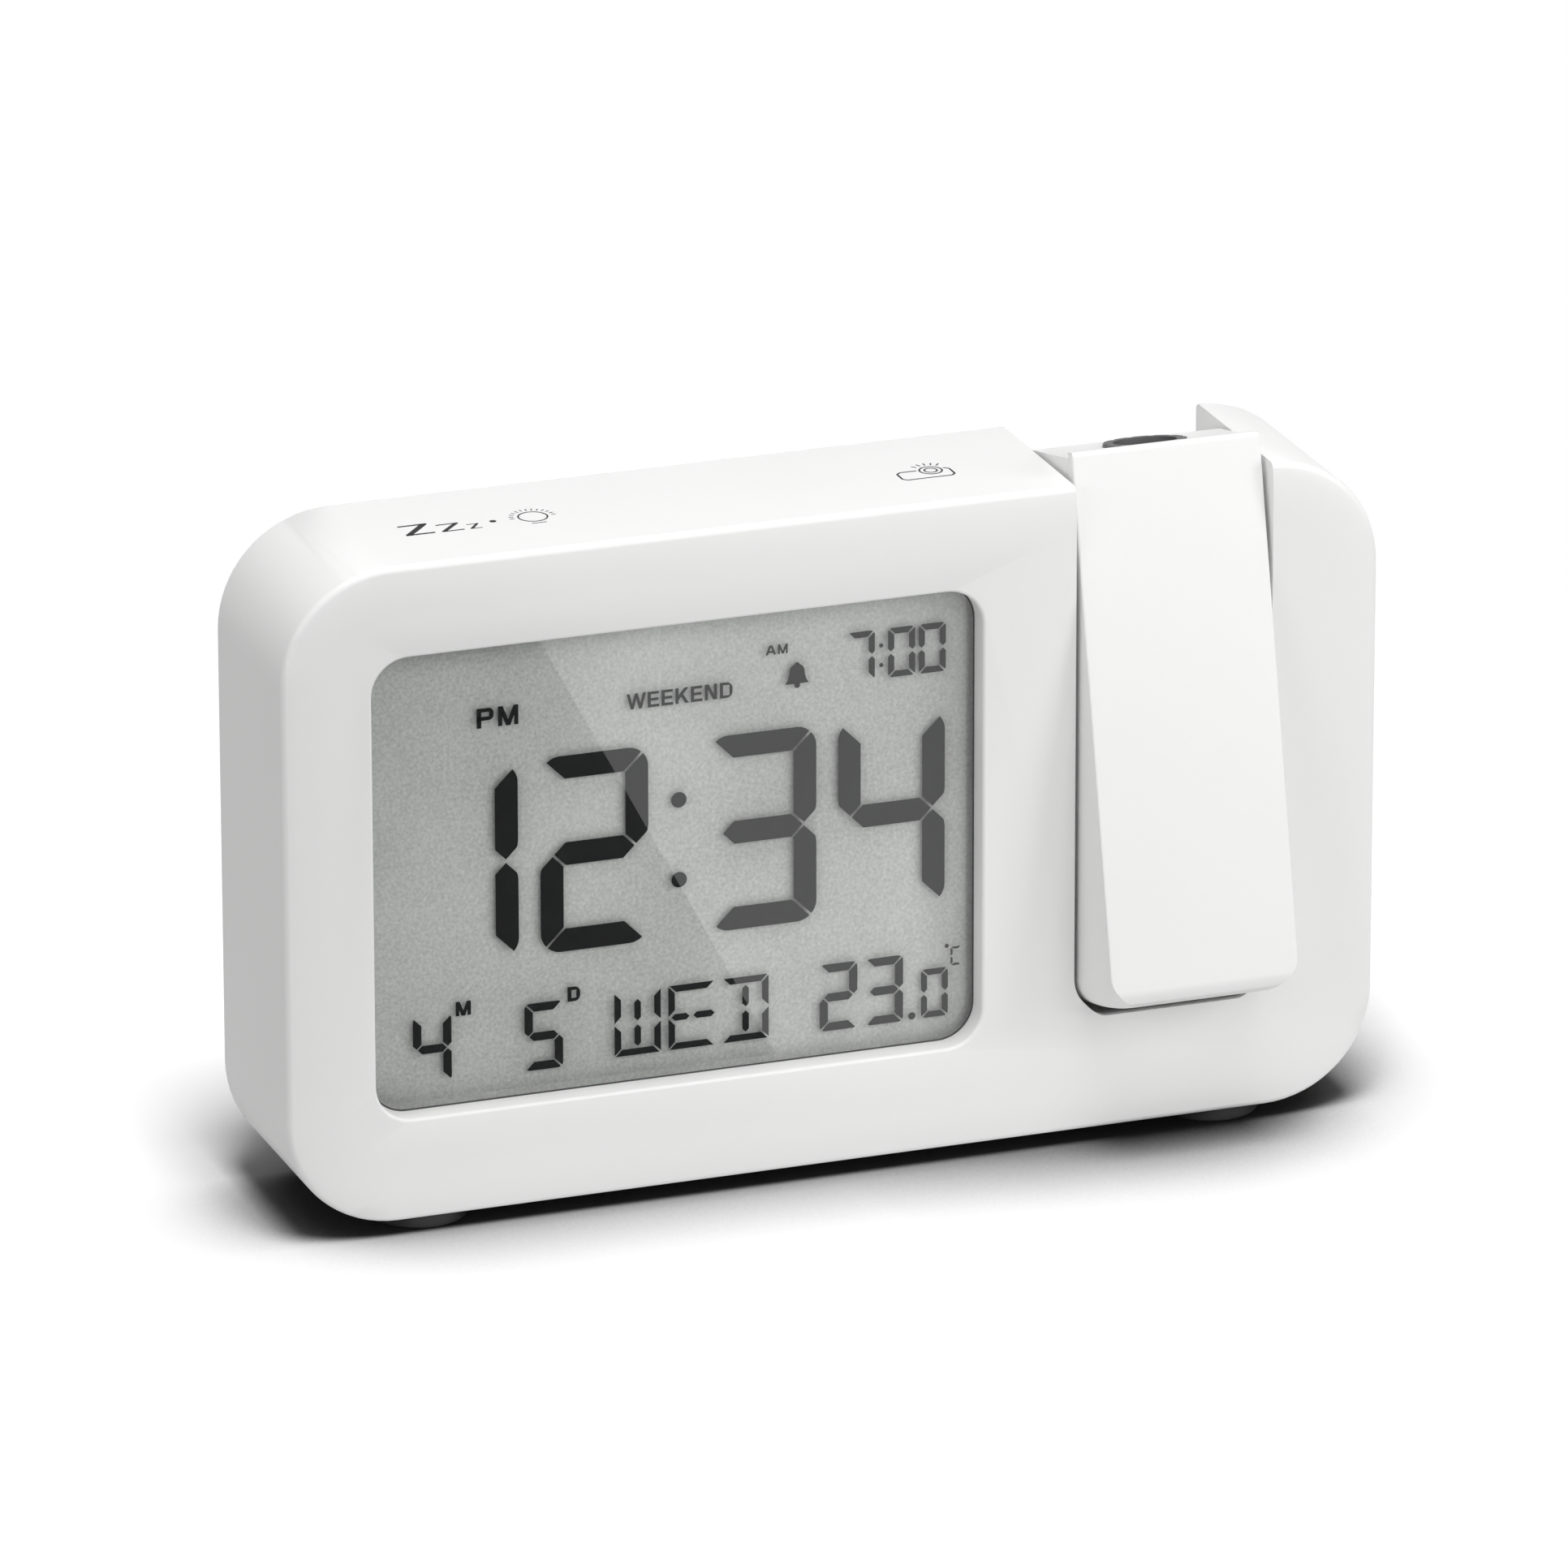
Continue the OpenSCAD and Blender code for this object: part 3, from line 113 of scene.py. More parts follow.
# %% The camera
camera_data = bpy.data.cameras.new("camera")
camera_data.lens = 316.8
camera_data.sensor_width = 36.0
camera_data.clip_end = 20.0
camera = bpy.data.objects.new("camera", camera_data)
bpy.context.scene.collection.objects.link(camera)
camera_place = Vector((-0.57836, -1.576595, 0.65716))
to_right = Vector((0.93949, -0.34257, -0.00165))
to_top = Vector((0.11762, 0.31802, 0.94076))
to_viewer = Vector((-0.32175, -0.88403, 0.33907))
turn = Matrix((to_right, to_top, to_viewer)).transposed().to_4x4()
camera.matrix_world = Matrix.Translation(camera_place) @ turn
bpy.context.scene.camera = camera
print("camera stands at", [round(v, 3) for v in camera_place])

# %% [markdown]
# Materials are chains of nodes, and a few kinds of node come back in most of them. These helpers
# add one node each and give back its result, so that a chain reads like a sum.


# %% Helpers for materials
def feed(tree, place, value):
    """Gives an input another node's result, or a plain value."""
    if isinstance(value, bpy.types.NodeSocket):
        tree.links.new(value, place)
    else:
        place.default_value = value


def figure(tree, operation, *given):
    """A sum of results or numbers."""
    node = tree.nodes.new("ShaderNodeMath")
    node.operation = operation
    for place, value in zip(node.inputs, given):
        feed(tree, place, value)
    return node.outputs[0]


def scaled(tree, colour, share):
    """A colour made darker or lighter by a share."""
    node = tree.nodes.new("ShaderNodeVectorMath")
    node.operation = "SCALE"
    feed(tree, node.inputs[0], colour)
    feed(tree, node.inputs["Scale"], share)
    return node.outputs[0]


def ramp(tree, value, start, end, low=0.0, high=1.0, kind="SMOOTHSTEP"):
    """Low where the value is at the start or before it, high at the end or past it."""
    node = tree.nodes.new("ShaderNodeMapRange")
    node.interpolation_type = kind
    feed(tree, node.inputs["Value"], value)
    feed(tree, node.inputs["From Min"], start)
    feed(tree, node.inputs["From Max"], end)
    feed(tree, node.inputs["To Min"], low)
    feed(tree, node.inputs["To Max"], high)
    return node.outputs[0]


def mixed(tree, share, first, second):
    """The first shader where the share is 0, and the second where it is 1."""
    node = tree.nodes.new("ShaderNodeMixShader")
    for place, value in zip(node.inputs, (share, first, second)):
        feed(tree, place, value)
    return node.outputs[0]


def new_material(name, keep_shader=True):
    """A material with nodes, and its node tree, with or without the usual shader."""
    material = bpy.data.materials.new(name)
    material.use_nodes = True
    if not keep_shader:
        material.node_tree.nodes.remove(material.node_tree.nodes["Principled BSDF"])
    return material, material.node_tree


# %% [markdown]
# Moulded plastic is never one flat value. A spark-eroded mould leaves a very fine grain that
# scatters the light, and thick and thin walls cool to slightly different whites. One node group
# makes both from noise on the object's own coordinates, so that every plastic can share it with
# its own values.


# %% A node group for moulded grain
def sockets(group, way, kinds):
    """The inputs or outputs of a node group, each a colour or a number."""
    for name, kind in kinds.items():
        group.interface.new_socket(name=name, in_out=way, socket_type="NodeSocket" + kind)


def noise(tree, place, scale, detail, roughness=0.5):
    """Noise at a place, with so many grains or clouds to the metre."""
    node = tree.nodes.new("ShaderNodeTexNoise")
    feed(tree, node.inputs["Vector"], place)
    feed(tree, node.inputs["Scale"], scale)
    feed(tree, node.inputs["Detail"], detail)
    feed(tree, node.inputs["Roughness"], roughness)
    return node.outputs["Fac"]


def build_moulded_grain():
    """A colour, a roughness and a height that change a little over the surface."""
    group = bpy.data.node_groups.new("moulded_grain", "ShaderNodeTree")
    both = {"Colour": "Color", "Roughness": "Float"}
    sockets(group, "INPUT", {**both, "Grains per metre": "Float", "Shade change": "Float"})
    sockets(group, "OUTPUT", {**both, "Height": "Float"})
    given = group.nodes.new("NodeGroupInput").outputs
    out = group.nodes.new("NodeGroupOutput").inputs
    place = group.nodes.new("ShaderNodeTexCoord").outputs["Object"]
    grain = noise(group, place, given["Grains per metre"], detail=3.0, roughness=0.6)
    cloud = noise(group, place, 28.0, detail=2.0)
    uneven = figure(group, "SUBTRACT", figure(group, "ADD", grain, cloud), 1.0)
    share = figure(group, "MULTIPLY_ADD", uneven, given["Shade change"], 1.0)
    feed(group, out["Colour"], scaled(group, given["Colour"], share))
    rough = figure(group, "MULTIPLY_ADD", uneven, 0.12, given["Roughness"])
    feed(group, out["Roughness"], rough)
    feed(group, out["Height"], grain)
    return group


moulded_grain = build_moulded_grain()
print("node group", moulded_grain.name, "has", len(moulded_grain.nodes), "nodes")


# %% A moulded plastic
def moulded(name, colour, roughness=0.45, grains=3500.0, shade=0.02, bump=0.00001, specular=0.5):
    """A plastic whose colour, roughness and surface change a little over the part."""
    material, tree = new_material(name)
    shader = tree.nodes["Principled BSDF"]
    shader.inputs["Specular IOR Level"].default_value = specular
    grain = tree.nodes.new("ShaderNodeGroup")
    grain.node_tree = moulded_grain
    grain.inputs["Colour"].default_value = (*colour, 1.0)
    grain.inputs["Grains per metre"].default_value = grains
    grain.inputs["Shade change"].default_value = shade
    grain.inputs["Roughness"].default_value = roughness
    surface = tree.nodes.new("ShaderNodeBump")
    surface.inputs["Strength"].default_value = 0.5
    surface.inputs["Distance"].default_value = bump
    feed(tree, surface.inputs["Height"], grain.outputs["Height"])
    feed(tree, shader.inputs["Base Color"], grain.outputs["Colour"])
    feed(tree, shader.inputs["Roughness"], grain.outputs["Roughness"])
    feed(tree, shader.inputs["Normal"], surface.outputs["Normal"])
    return material


case_white = moulded("case_white", (0.82, 0.82, 0.815))
arm_white = moulded("arm_white", (0.825, 0.825, 0.82))
frame_white = moulded("frame_white", (0.62, 0.62, 0.61), roughness=0.6)
clear_plastic = moulded("clear_plastic", (0.78, 0.80, 0.80), roughness=0.2)
part_black = moulded("part_black", (0.025, 0.025, 0.027), roughness=0.4, shade=0.2)
contact_rubber = moulded("contact_rubber", (0.55, 0.38, 0.36), roughness=0.7, shade=0.1)
cell_wrap = moulded("cell_wrap", (0.05, 0.055, 0.06), roughness=0.3, shade=0.2)
key_grey = moulded("key_grey", (0.36, 0.37, 0.38), roughness=0.5, shade=0.06)
foot_rubber = moulded("foot_rubber", (0.032, 0.032, 0.033), roughness=0.65, shade=0.25, bump=0.00002)
bush_nylon = moulded("bush_nylon", (0.70, 0.69, 0.64), roughness=0.35)
optics_black = moulded("optics_black", (0.02, 0.02, 0.021), roughness=0.55, shade=0.25)
ring_grey = moulded("ring_grey", (0.12, 0.12, 0.125), roughness=0.42, shade=0.12)
led_ivory = moulded("led_ivory", (0.85, 0.80, 0.55), roughness=0.3)
board_green = moulded("board_green", (0.03, 0.16, 0.07), roughness=0.35, shade=0.3, grains=900.0)
print("plastics made:", len(bpy.data.materials))


# %% [markdown]
# Screws, springs and contacts are bare metal. The same group gives the metals their uneven
# polish, with a full Metallic value on the shader.


# %% The metals
def bare_metal(name, colour, roughness):
    """A metal with a fine, uneven polish."""
    material = moulded(name, colour, roughness=roughness, grains=1500.0, shade=0.12, bump=0.000004)
    material.node_tree.nodes["Principled BSDF"].inputs["Metallic"].default_value = 1.0
    return material


copper_foil = bare_metal("copper_foil", (0.72, 0.40, 0.25), 0.35)
nickel = bare_metal("nickel", (0.66, 0.63, 0.57), 0.28)
steel = bare_metal("steel", (0.55, 0.55, 0.56), 0.32)
print("metals made")

# %% [markdown]
# The window in front of the display is clear acrylic. A thin clear sheet lets nearly all light
# straight through and mirrors a few percent of it. A Transparent shader with a little Glossy mixed
# in does that without the noise of bent light. Light that isn't bent would meet the sheet's rear
# face at too flat an angle and be thrown back, so only the faces that light enters by are mirrors.


# %% The clear window
def clear_pane(name, mirror):
    """A clear sheet that mirrors as a solid with this refractive index does."""
    material, tree = new_material(name, keep_shader=False)
    through = tree.nodes.new("ShaderNodeBsdfTransparent")
    shine = tree.nodes.new("ShaderNodeBsdfGlossy")
    shine.inputs["Roughness"].default_value = 0.0
    amount = tree.nodes.new("ShaderNodeFresnel")
    amount.inputs["IOR"].default_value = mirror
    side = tree.nodes.new("ShaderNodeNewGeometry")
    entering = figure(tree, "SUBTRACT", 1.0, side.outputs["Backfacing"])
    share = figure(tree, "MULTIPLY", amount.outputs[0], entering)
    pane = mixed(tree, share, through.outputs[0], shine.outputs[0])
    feed(tree, tree.nodes["Material Output"].inputs["Surface"], pane)
    return material


window_clear = clear_pane("window_clear", 1.8)
lens_clear = clear_pane("lens_clear", 1.6)
print("clear sheets made:", window_clear.name, lens_clear.name)

# %% [markdown]
# Every part of the engineering model now gets its finish. Those that stay as they are only need
# the material in their slot.

# %% Finishes for the engineering parts
key_names = ["key_1", "key_2", "key_3", "key_4", "key_5"]
foot_names = ["foot_front_left", "foot_front_right", "foot_rear_left", "foot_rear_right"]
finishes = (
    (case_white, ["case_shell", "rear_cover", "battery_door"]),
    (arm_white, ["arm_case", "arm_back"]),
    (key_grey, key_names),
    (foot_rubber, foot_names),
    (window_clear, ["screen_window"]),
    (lens_clear, ["condenser_lens", "projection_lens"]),
    (clear_plastic, ["lcd_panel", "light_guide"]),
    (frame_white, ["lcd_frame"]),
    (contact_rubber, ["contact_strip"]),
    (led_ivory, ["backlight_leds", "projector_lamp"]),
    (board_green, ["main_board", "key_board", "power_board", "lamp_board", "backlight_board"]),
    (part_black, ["board_chips", "key_switches", "buzzer", "temperature_sensor", "image_panel"]),
    (copper_foil, ["touch_pad_snooze", "touch_pad_projector"]),
    (nickel, ["battery_springs", "battery_plates", "usb_socket"]),
    (cell_wrap, ["battery_cells"]),
    (steel, ["cover_screws", "board_screws", "arm_screws"]),
    (steel, ["pivot_pin_left", "pivot_pin_right", "friction_washers"]),
    (bush_nylon, ["arm_bushes"]),
    (optics_black, ["optics_tube", "lens_barrel"]),
    (ring_grey, ["focus_ring"]),
)


def finish_with(thing, material):
    """Gives an object this one material."""
    thing.data.materials.clear()
    thing.data.materials.append(material)


for material, parts in finishes:
    for part in parts:
        finish_with(frame["nodes"][part], material)
print("parts finished:", sum(len(parts) for _, parts in finishes), "of", len(frame["nodes"]))

# %% [markdown]
# The case and the arm are mouldings, so no edge on them is really sharp. A copy of each solid is
# merged, its flat areas are joined into single faces, and a small bevel rounds what is left of
# the sharp edges. The copy then stands for the solid.


# %% A moulded skin over a solid
smooth_below = math.radians(40)


def moulded_skin(name, part, edge, body, reshape):
    """A copy of a part, reshaped and with rounded edges, which replaces it."""
    skin = bpy.data.objects.new(name, frame["nodes"][part].data.copy())
    bpy.context.scene.collection.objects.link(skin)
    edit(skin)
    bpy.ops.mesh.remove_doubles(threshold=0.002 * mm)
    bpy.ops.mesh.dissolve_limited(angle_limit=math.radians(0.4))
    done()
    reshape(skin)
    rounding = skin.modifiers.new("rounding", "BEVEL")
    rounding.width = edge
    rounding.segments = 3
    rounding.limit_method = "ANGLE"
    rounding.angle_limit = math.radians(35)
    rounding.miter_outer = "MITER_ARC"
    rounding.use_clamp_overlap = True
    bpy.ops.object.modifier_apply(modifier=rounding.name)
    bpy.ops.object.shade_smooth_by_angle(angle=smooth_below)
    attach(skin, body)
    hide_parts(part)
    measure(skin)


# %% [markdown]
# Two places need more than the small bevel. The slot ends a little below the arm, so that a dark
# line shows under it: the slot's end wall is picked by its distance from the hinge and pulled
# down, and proportional editing takes the rounded corners along. On the arm, the ridge along the
# top of the head has a wider, softer front edge.


# %% The slot's end and the arm's ridge
def pick(thing, wanted):
    """Selects the points that a test wants, with the edges and faces between them."""
    choose(thing)
    for corner in thing.data.vertices:
        corner.select = wanted(corner.co)
    chosen = [corner.select for corner in thing.data.vertices]
    for side in thing.data.edges:
        side.select = all(chosen[i] for i in side.vertices)
    for face in thing.data.polygons:
        face.select = all(chosen[i] for i in face.vertices)
    bpy.ops.object.mode_set(mode="EDIT")


slot_reach = 60.6 * mm
slot_half = 13.7 * mm
slot_drop = 0.75 * mm
slot_corner_pull = 3.5 * mm


def deepen_slot(skin):
    """Pulls the slot's curved end wall down."""

    def on_end_wall(spot):
        reach = math.hypot(spot.y - hinge_y, spot.z - hinge_z)
        inside = abs(spot.x - hinge_x) < slot_half and spot.z < hinge_z
        return inside and abs(reach - slot_reach) < 0.06 * mm

    pick(skin, on_end_wall)
    bpy.ops.transform.translate(
        value=(0, 0, -slot_drop),
        use_proportional_edit=True,
        use_proportional_connected=True,
        proportional_edit_falloff="SMOOTH",
        proportional_size=slot_corner_pull,
    )
    done()


def soften_ridge(skin):
    """Rounds the edge of the arm's head that stands highest."""
    arm_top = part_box("arm_case")[1][2]
    pick(skin, lambda spot: spot.z > arm_top - 0.02 * mm)
    bpy.ops.mesh.bevel(offset=0.7 * mm, segments=5, affect="EDGES")
    done()


# %% The case and the arm
moulded_skin("case_skin", "case_shell", 0.18 * mm, "housing", deepen_slot)
moulded_skin("arm_skin", "arm_case", 0.25 * mm, "arm", soften_ridge)

# %% [markdown]
# The rubber feet are turned pads: a stem sits in a pocket of the case, and a wider disc under it
# carries the clock. The disc is a cylinder with a bevelled lower rim, and the stem is pulled up
# out of its inset top face.

# %% The rubber feet
pad_radius = 6.5 * mm
pad_tall = 1.98 * mm
stem_play = 0.05 * mm


def rubber_foot(part):
    """A pad with a stem, in the place of one foot of the engineering model."""
    low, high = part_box(part)
    stem_radius = (high[0] - low[0]) / 2 - stem_play
    middle = ((low[0] + high[0]) / 2, (low[1] + high[1]) / 2, pad_tall / 2)
    bpy.ops.mesh.primitive_cylinder_add(
        vertices=64, radius=pad_radius, depth=pad_tall, location=middle
    )
    pad = bpy.context.object
    pad.name = part + "_pad"
    into_mesh(pad)
    pick(pad, lambda spot: spot.z < 0.01 * mm)
    bpy.ops.mesh.bevel(offset=0.45 * mm, segments=4, affect="EDGES")
    done()
    pick(pad, lambda spot: spot.z > pad_tall - 0.01 * mm)
    bpy.ops.mesh.inset(thickness=pad_radius - stem_radius, depth=0.0)
    bpy.ops.mesh.extrude_region_move(TRANSFORM_OT_translate={"value": (0, 0, high[2] - pad_tall)})
    done()
    choose(pad)
    bpy.ops.object.shade_smooth_by_angle(angle=smooth_below)
    finish_with(pad, foot_rubber)
    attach(pad, "housing")
    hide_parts(part)
    measure(pad)


for part in foot_names:
    rubber_foot(part)

# %% [markdown]
# The display has two layers. Dark crystal segments lie in the glass, and a grey reflector lies
# behind it, so the segments throw soft shadows on the reflector. Both take the place of the
# display's solid. All the marks are laid out on one sheet, measured in steps of an eighteenth of
# a millimetre from its upper left corner.

# %% Where the display lies
step = mm / 18
glass_low, glass_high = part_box("lcd_panel")
opening_low = (-63.0 * mm, 16.0 * mm)
opening_high = (20.0 * mm, 78.8 * mm)
sheet_left = case_low[0] + 10.24 * mm
sheet_top = case_low[2] + 78.75 * mm
marks_y = glass_low[1] + 0.15 * mm
mark_depth = 0.05 * mm
reflector_y = glass_low[1] + 0.85 * mm
print("glass from", [round(v / mm, 2) for v in glass_low], "to", [round(v / mm, 2) for v in glass_high])


def on_sheet(across, down):
    """The point of the clock that a step count on the sheet stands for."""
    return sheet_left + across * step, sheet_top - down * step


# %% Thin sheets and plates
def new_plane(name, middle, wide, tall, turn_by=0.0):
    """An upright sheet that faces the front, with its place and size in its mesh."""
    turned = (math.pi / 2, -turn_by, 0)
    bpy.ops.mesh.primitive_plane_add(size=1.0, location=middle, rotation=turned)
    sheet = bpy.context.object
    sheet.name = name
    sheet.scale = (wide, tall, 1.0)
    into_mesh(sheet)
    return sheet


def thicken(thing, way):
    """Pulls a flat sheet out into a thin plate, and turns all its faces outwards."""
    edit(thing)
    bpy.ops.mesh.extrude_region_move(TRANSFORM_OT_translate={"value": way})
    bpy.ops.mesh.select_all(action="SELECT")
    bpy.ops.mesh.normals_make_consistent(inside=False)
    done()


# %% [markdown]
# A lit segment is a flat bar with slanted ends. It starts as a plane, and the bisect operator
# cuts off what lies beyond each slanted line. Cuts that follow a circle round the digit's outer
# corners. The bars of one digit size are made once, and each digit takes copies of the ones that
# it lights.


# %% One bar of a digit
def cut_bar(name, box, cuts):
    """A flat bar between two corners in steps, less what lies beyond each cut."""
    left, low, right, high = box
    middle = ((left + right) / 2, 0, (low + high) / 2)
    bar = new_plane(name, middle, right - left, high - low)
    edit(bar)
    for (x, z), (away_x, away_z) in cuts:
        bpy.ops.mesh.select_all(action="SELECT")
        bpy.ops.mesh.bisect(
            plane_co=(x, 0, z), plane_no=(away_x, 0, away_z), clear_outer=True, threshold=0.001
        )
    done()
    return bar


def round_off(centre, radius, from_angle, to_angle, cuts=3):
    """Cuts that follow a circle between two directions, in degrees from the right."""
    made = []
    for i in range(cuts):
        angle = math.radians(from_angle + (to_angle - from_angle) * (i + 0.5) / cuts)
        way = (math.cos(angle), math.sin(angle))
        made.append(((centre[0] + radius * way[0], centre[1] + radius * way[1]), way))
    return made


def flip(box, cuts, wide, tall, over_x, over_z):
    """The same bar on the other side of the digit's middle lines."""
    left, low, right, high = box
    if over_x:
        left, right = wide - right, wide - left
        cuts = [((wide - x, z), (-a, b)) for (x, z), (a, b) in cuts]
    if over_z:
        low, high = tall - high, tall - low
        cuts = [((x, tall - z), (a, -b)) for (x, z), (a, b) in cuts]
    return (left, low, right, high), cuts


# %% The bars of one digit size
def digit_bars(name, wide, tall, thick, waist, gap, corner, waist_corner=0.0):
    """The seven bars a to g of a digit, with its lower left corner at zero."""
    half = gap / 2 * math.sqrt(2)
    middle = tall / 2
    top_cuts = [((half, tall), (-1, -1)), ((wide - half, tall), (1, -1))]
    side_cuts = [
        ((wide, tall - half), (-1, 1)),
        ((wide - waist, middle + half), (-1, -1)),
        ((wide - waist, middle + half), (1, -1)),
    ]
    if corner:
        top_cuts += round_off((corner, tall - corner), corner, 135, 90)
        top_cuts += round_off((wide - corner, tall - corner), corner, 45, 90)
        side_cuts += round_off((wide - corner, tall - corner), corner, 0, 45)
    if waist_corner:
        centre = (wide - waist_corner, middle + waist - half + 0.43 * waist_corner)
        side_cuts += round_off(centre, waist_corner, 0, -45)
    top = ((0, tall - thick, wide, tall), top_cuts)
    side = ((wide - thick, middle, wide, tall), side_cuts)
    g_cuts = [((waist + half, middle), (-1, s)) for s in (1, -1)]
    g_cuts += [((wide - waist - half, middle), (1, s)) for s in (1, -1)]
    shapes = {
        "a": top,
        "d": flip(*top, wide, tall, False, True),
        "b": side,
        "f": flip(*side, wide, tall, True, False),
        "c": flip(*side, wide, tall, False, True),
        "e": flip(*side, wide, tall, True, True),
        "g": ((waist, middle - thick / 2, wide - waist, middle + thick / 2), g_cuts),
    }
    return {key: cut_bar(f"{name}_{key}", *shape) for key, shape in shapes.items()}


# %% Which bars each digit lights
lit_bars = {
    "0": "abcdef",
    "1": "bc",
    "2": "abged",
    "3": "abgcd",
    "4": "fgbc",
    "5": "afgcd",
    "7": "abc",
}
marks = []


def put(bar, across, down):
    """Adds a copy of a bar whose zero lies at this place on the sheet."""
    x, z = on_sheet(across, down)
    copy = bpy.data.objects.new("mark", bar.data.copy())
    copy.data.transform(Matrix.Translation((x, marks_y, z)) @ Matrix.Diagonal((step, 1, step, 1)))
    bpy.context.scene.collection.objects.link(copy)
    marks.append(copy)


def show(bars, digit, left, bottom):
    """Adds the lit bars of one digit, by its lower left corner."""
    for key in lit_bars[digit]:
        put(bars[key], left, bottom)


def clear_away(bars):
    """Removes the bars that the copies were taken from."""
    for bar in bars.values():
        bpy.data.objects.remove(bar)


# %% The time, in large digits
large = digit_bars("large", wide=265, tall=481, thick=56, waist=30, gap=6.2, corner=50, waist_corner=60)
time_foot = 831
for digit, left in (("1", 144), ("2", 463), ("3", 877), ("4", 1196)):
    show(large, digit, left, time_foot)
clear_away(large)
print("marks so far:", len(marks))

# %% The alarm time and the date row
small = digit_bars("small", wide=67, tall=121, thick=15, waist=7, gap=4, corner=11)
alarm_foot = 256
for digit, left in (("7", 1220), ("0", 1320), ("0", 1396)):
    show(small, digit, left, alarm_foot)
date_foot = 1113
show(small, "0", 1403, date_foot)
clear_away(small)
medium = digit_bars(
    "medium", wide=94, tall=166, thick=20.5, waist=9, gap=4, corner=14, waist_corner=14
)
show(medium, "4", 148, date_foot)
show(medium, "5", 421, date_foot + 3)
show(medium, "2", 1150, date_foot + 1)
show(medium, "3", 1264, date_foot + 1)
clear_away(medium)
print("marks so far:", len(marks))

# %% [markdown]
# The weekday is drawn with a wider cell that also has upright bars in its middle and a split
# middle bar. Its corners are sharp. The C behind the degree sign has the bars of a tiny digit.


# %% The weekday
def middle_bars(name, wide, tall, thick, gap):
    """Two short uprights and two short level bars in the middle of a wide digit."""
    x, z = wide / 2, tall / 2
    tip = thick / 2
    made = {}
    for key, low, high in (("l", z + gap, tall - thick - gap), ("m", thick + gap, z - gap)):
        ends = [((x, low), (s, -1)) for s in (1, -1)] + [((x, high), (s, 1)) for s in (1, -1)]
        made[key] = cut_bar(f"{name}_{key}", (x - tip, low, x + tip, high), ends)
    for key, left, right in (("n", tip, x - gap), ("o", x + gap, wide)):
        ends = [((left, z), (-1, s)) for s in (1, -1)] + [((right, z), (1, s)) for s in (1, -1)]
        made[key] = cut_bar(f"{name}_{key}", (left, z - tip, right, z + tip), ends)
    return made


cell = {"wide": 114, "tall": 159, "thick": 16}
cell_bars = digit_bars("wide", **cell, waist=0, gap=4, corner=0)
cell_bars.update(middle_bars("wide", **cell, gap=5))
weekday_foot = 1110
for left, lit in ((642, "fbecdlm"), (775, "afedno"), (909, "adbclm")):
    for key in lit:
        put(cell_bars[key], left, weekday_foot)
clear_away(cell_bars)
tiny = digit_bars("tiny", wide=26, tall=46, thick=5, waist=2, gap=3, corner=3)
for key in "afed":
    put(tiny[key], 1477, 990)
clear_away(tiny)
print("marks so far:", len(marks))


# %% [markdown]
# The colons, the decimal point and the degree sign are small discs. The bell is drawn upwards
# from its rim: the top edge is extruded and narrowed again and again, and a disc below is the
# clapper.


# %% Dots and the bell
def dot(across, down, radius):
    """Adds a disc with its middle at this place on the sheet."""
    x, z = on_sheet(across, down)
    bpy.ops.mesh.primitive_circle_add(
        vertices=24,
        radius=radius * step,
        fill_type="NGON",
        location=(x, marks_y, z),
        rotation=(math.pi / 2, 0, 0),
    )
    disc = bpy.context.object
    into_mesh(disc)
    marks.append(disc)


dots = {
    "time, upper": (803, 493, 19),
    "time, lower": (803, 690, 19),
    "alarm, upper": (1303, 175, 5),
    "alarm, lower": (1303, 223, 5),
    "decimal point": (1380, 1104, 9),
    "degree": (1467, 940, 5),
    "clapper": (1095, 247, 7),
}
for place in dots.values():
    dot(*place)
print("dots:", ", ".join(dots))


def bell(across, rim_down, outline):
    """A bell from its rim upwards, each row as half width and height in steps."""
    x, z = on_sheet(across, rim_down)
    half = outline[0][0]
    height = 3.0
    middle = (x, marks_y, z + height / 2 * step)
    shape = new_plane("bell", middle, 2 * half * step, height * step)
    for wide, up in outline[1:]:
        top = max(corner.co.z for corner in shape.data.vertices)
        pick(shape, lambda spot: spot.z > top - 0.1 * step)
        bpy.ops.mesh.select_mode(type="EDGE")
        bpy.ops.mesh.extrude_region_move(
            TRANSFORM_OT_translate={"value": (0, 0, (up - height) * step)}
        )
        bpy.ops.transform.resize(value=(wide / half, 1, 1), center_override=(x, marks_y, z))
        done()
        half, height = wide, up
    marks.append(shape)
    measure(shape)


bell_outline = ((28, 0), (25, 6), (22, 12), (19, 24), (18, 34), (14, 42), (7, 47), (3, 52))
bell(1095, 243, bell_outline)


# %% [markdown]
# The words on the display are plain bold capitals. Each is built from straight strokes, as the
# digits are, because a font's outline made bolder crosses itself at this size. A slanted stroke is
# a plane that is turned, and cut level at the top and the bottom of its line of letters.


# %% Strokes of a letter
def upright(left, low, right, high, cuts=()):
    """A straight stroke between two corners, level or upright."""
    return cut_bar("stroke", (left, low, right, high), cuts)


def slanted(foot, head, thick, tall):
    """A stroke between two points on the bottom and top lines, with level ends."""
    (x0, z0), (x1, z1) = foot, head
    length = math.hypot(x1 - x0, z1 - z0) + 2 * thick
    turn_by = math.atan2(z1 - z0, x1 - x0)
    bar = new_plane("stroke", ((x0 + x1) / 2, 0, (z0 + z1) / 2), length, thick, turn_by)
    edit(bar)
    for z, way in ((min(tall, max(z0, z1)), 1), (max(0, min(z0, z1)), -1)):
        bpy.ops.mesh.select_all(action="SELECT")
        bpy.ops.mesh.bisect(plane_co=(0, 0, z), plane_no=(0, 0, way), clear_outer=True)
    done()
    return bar


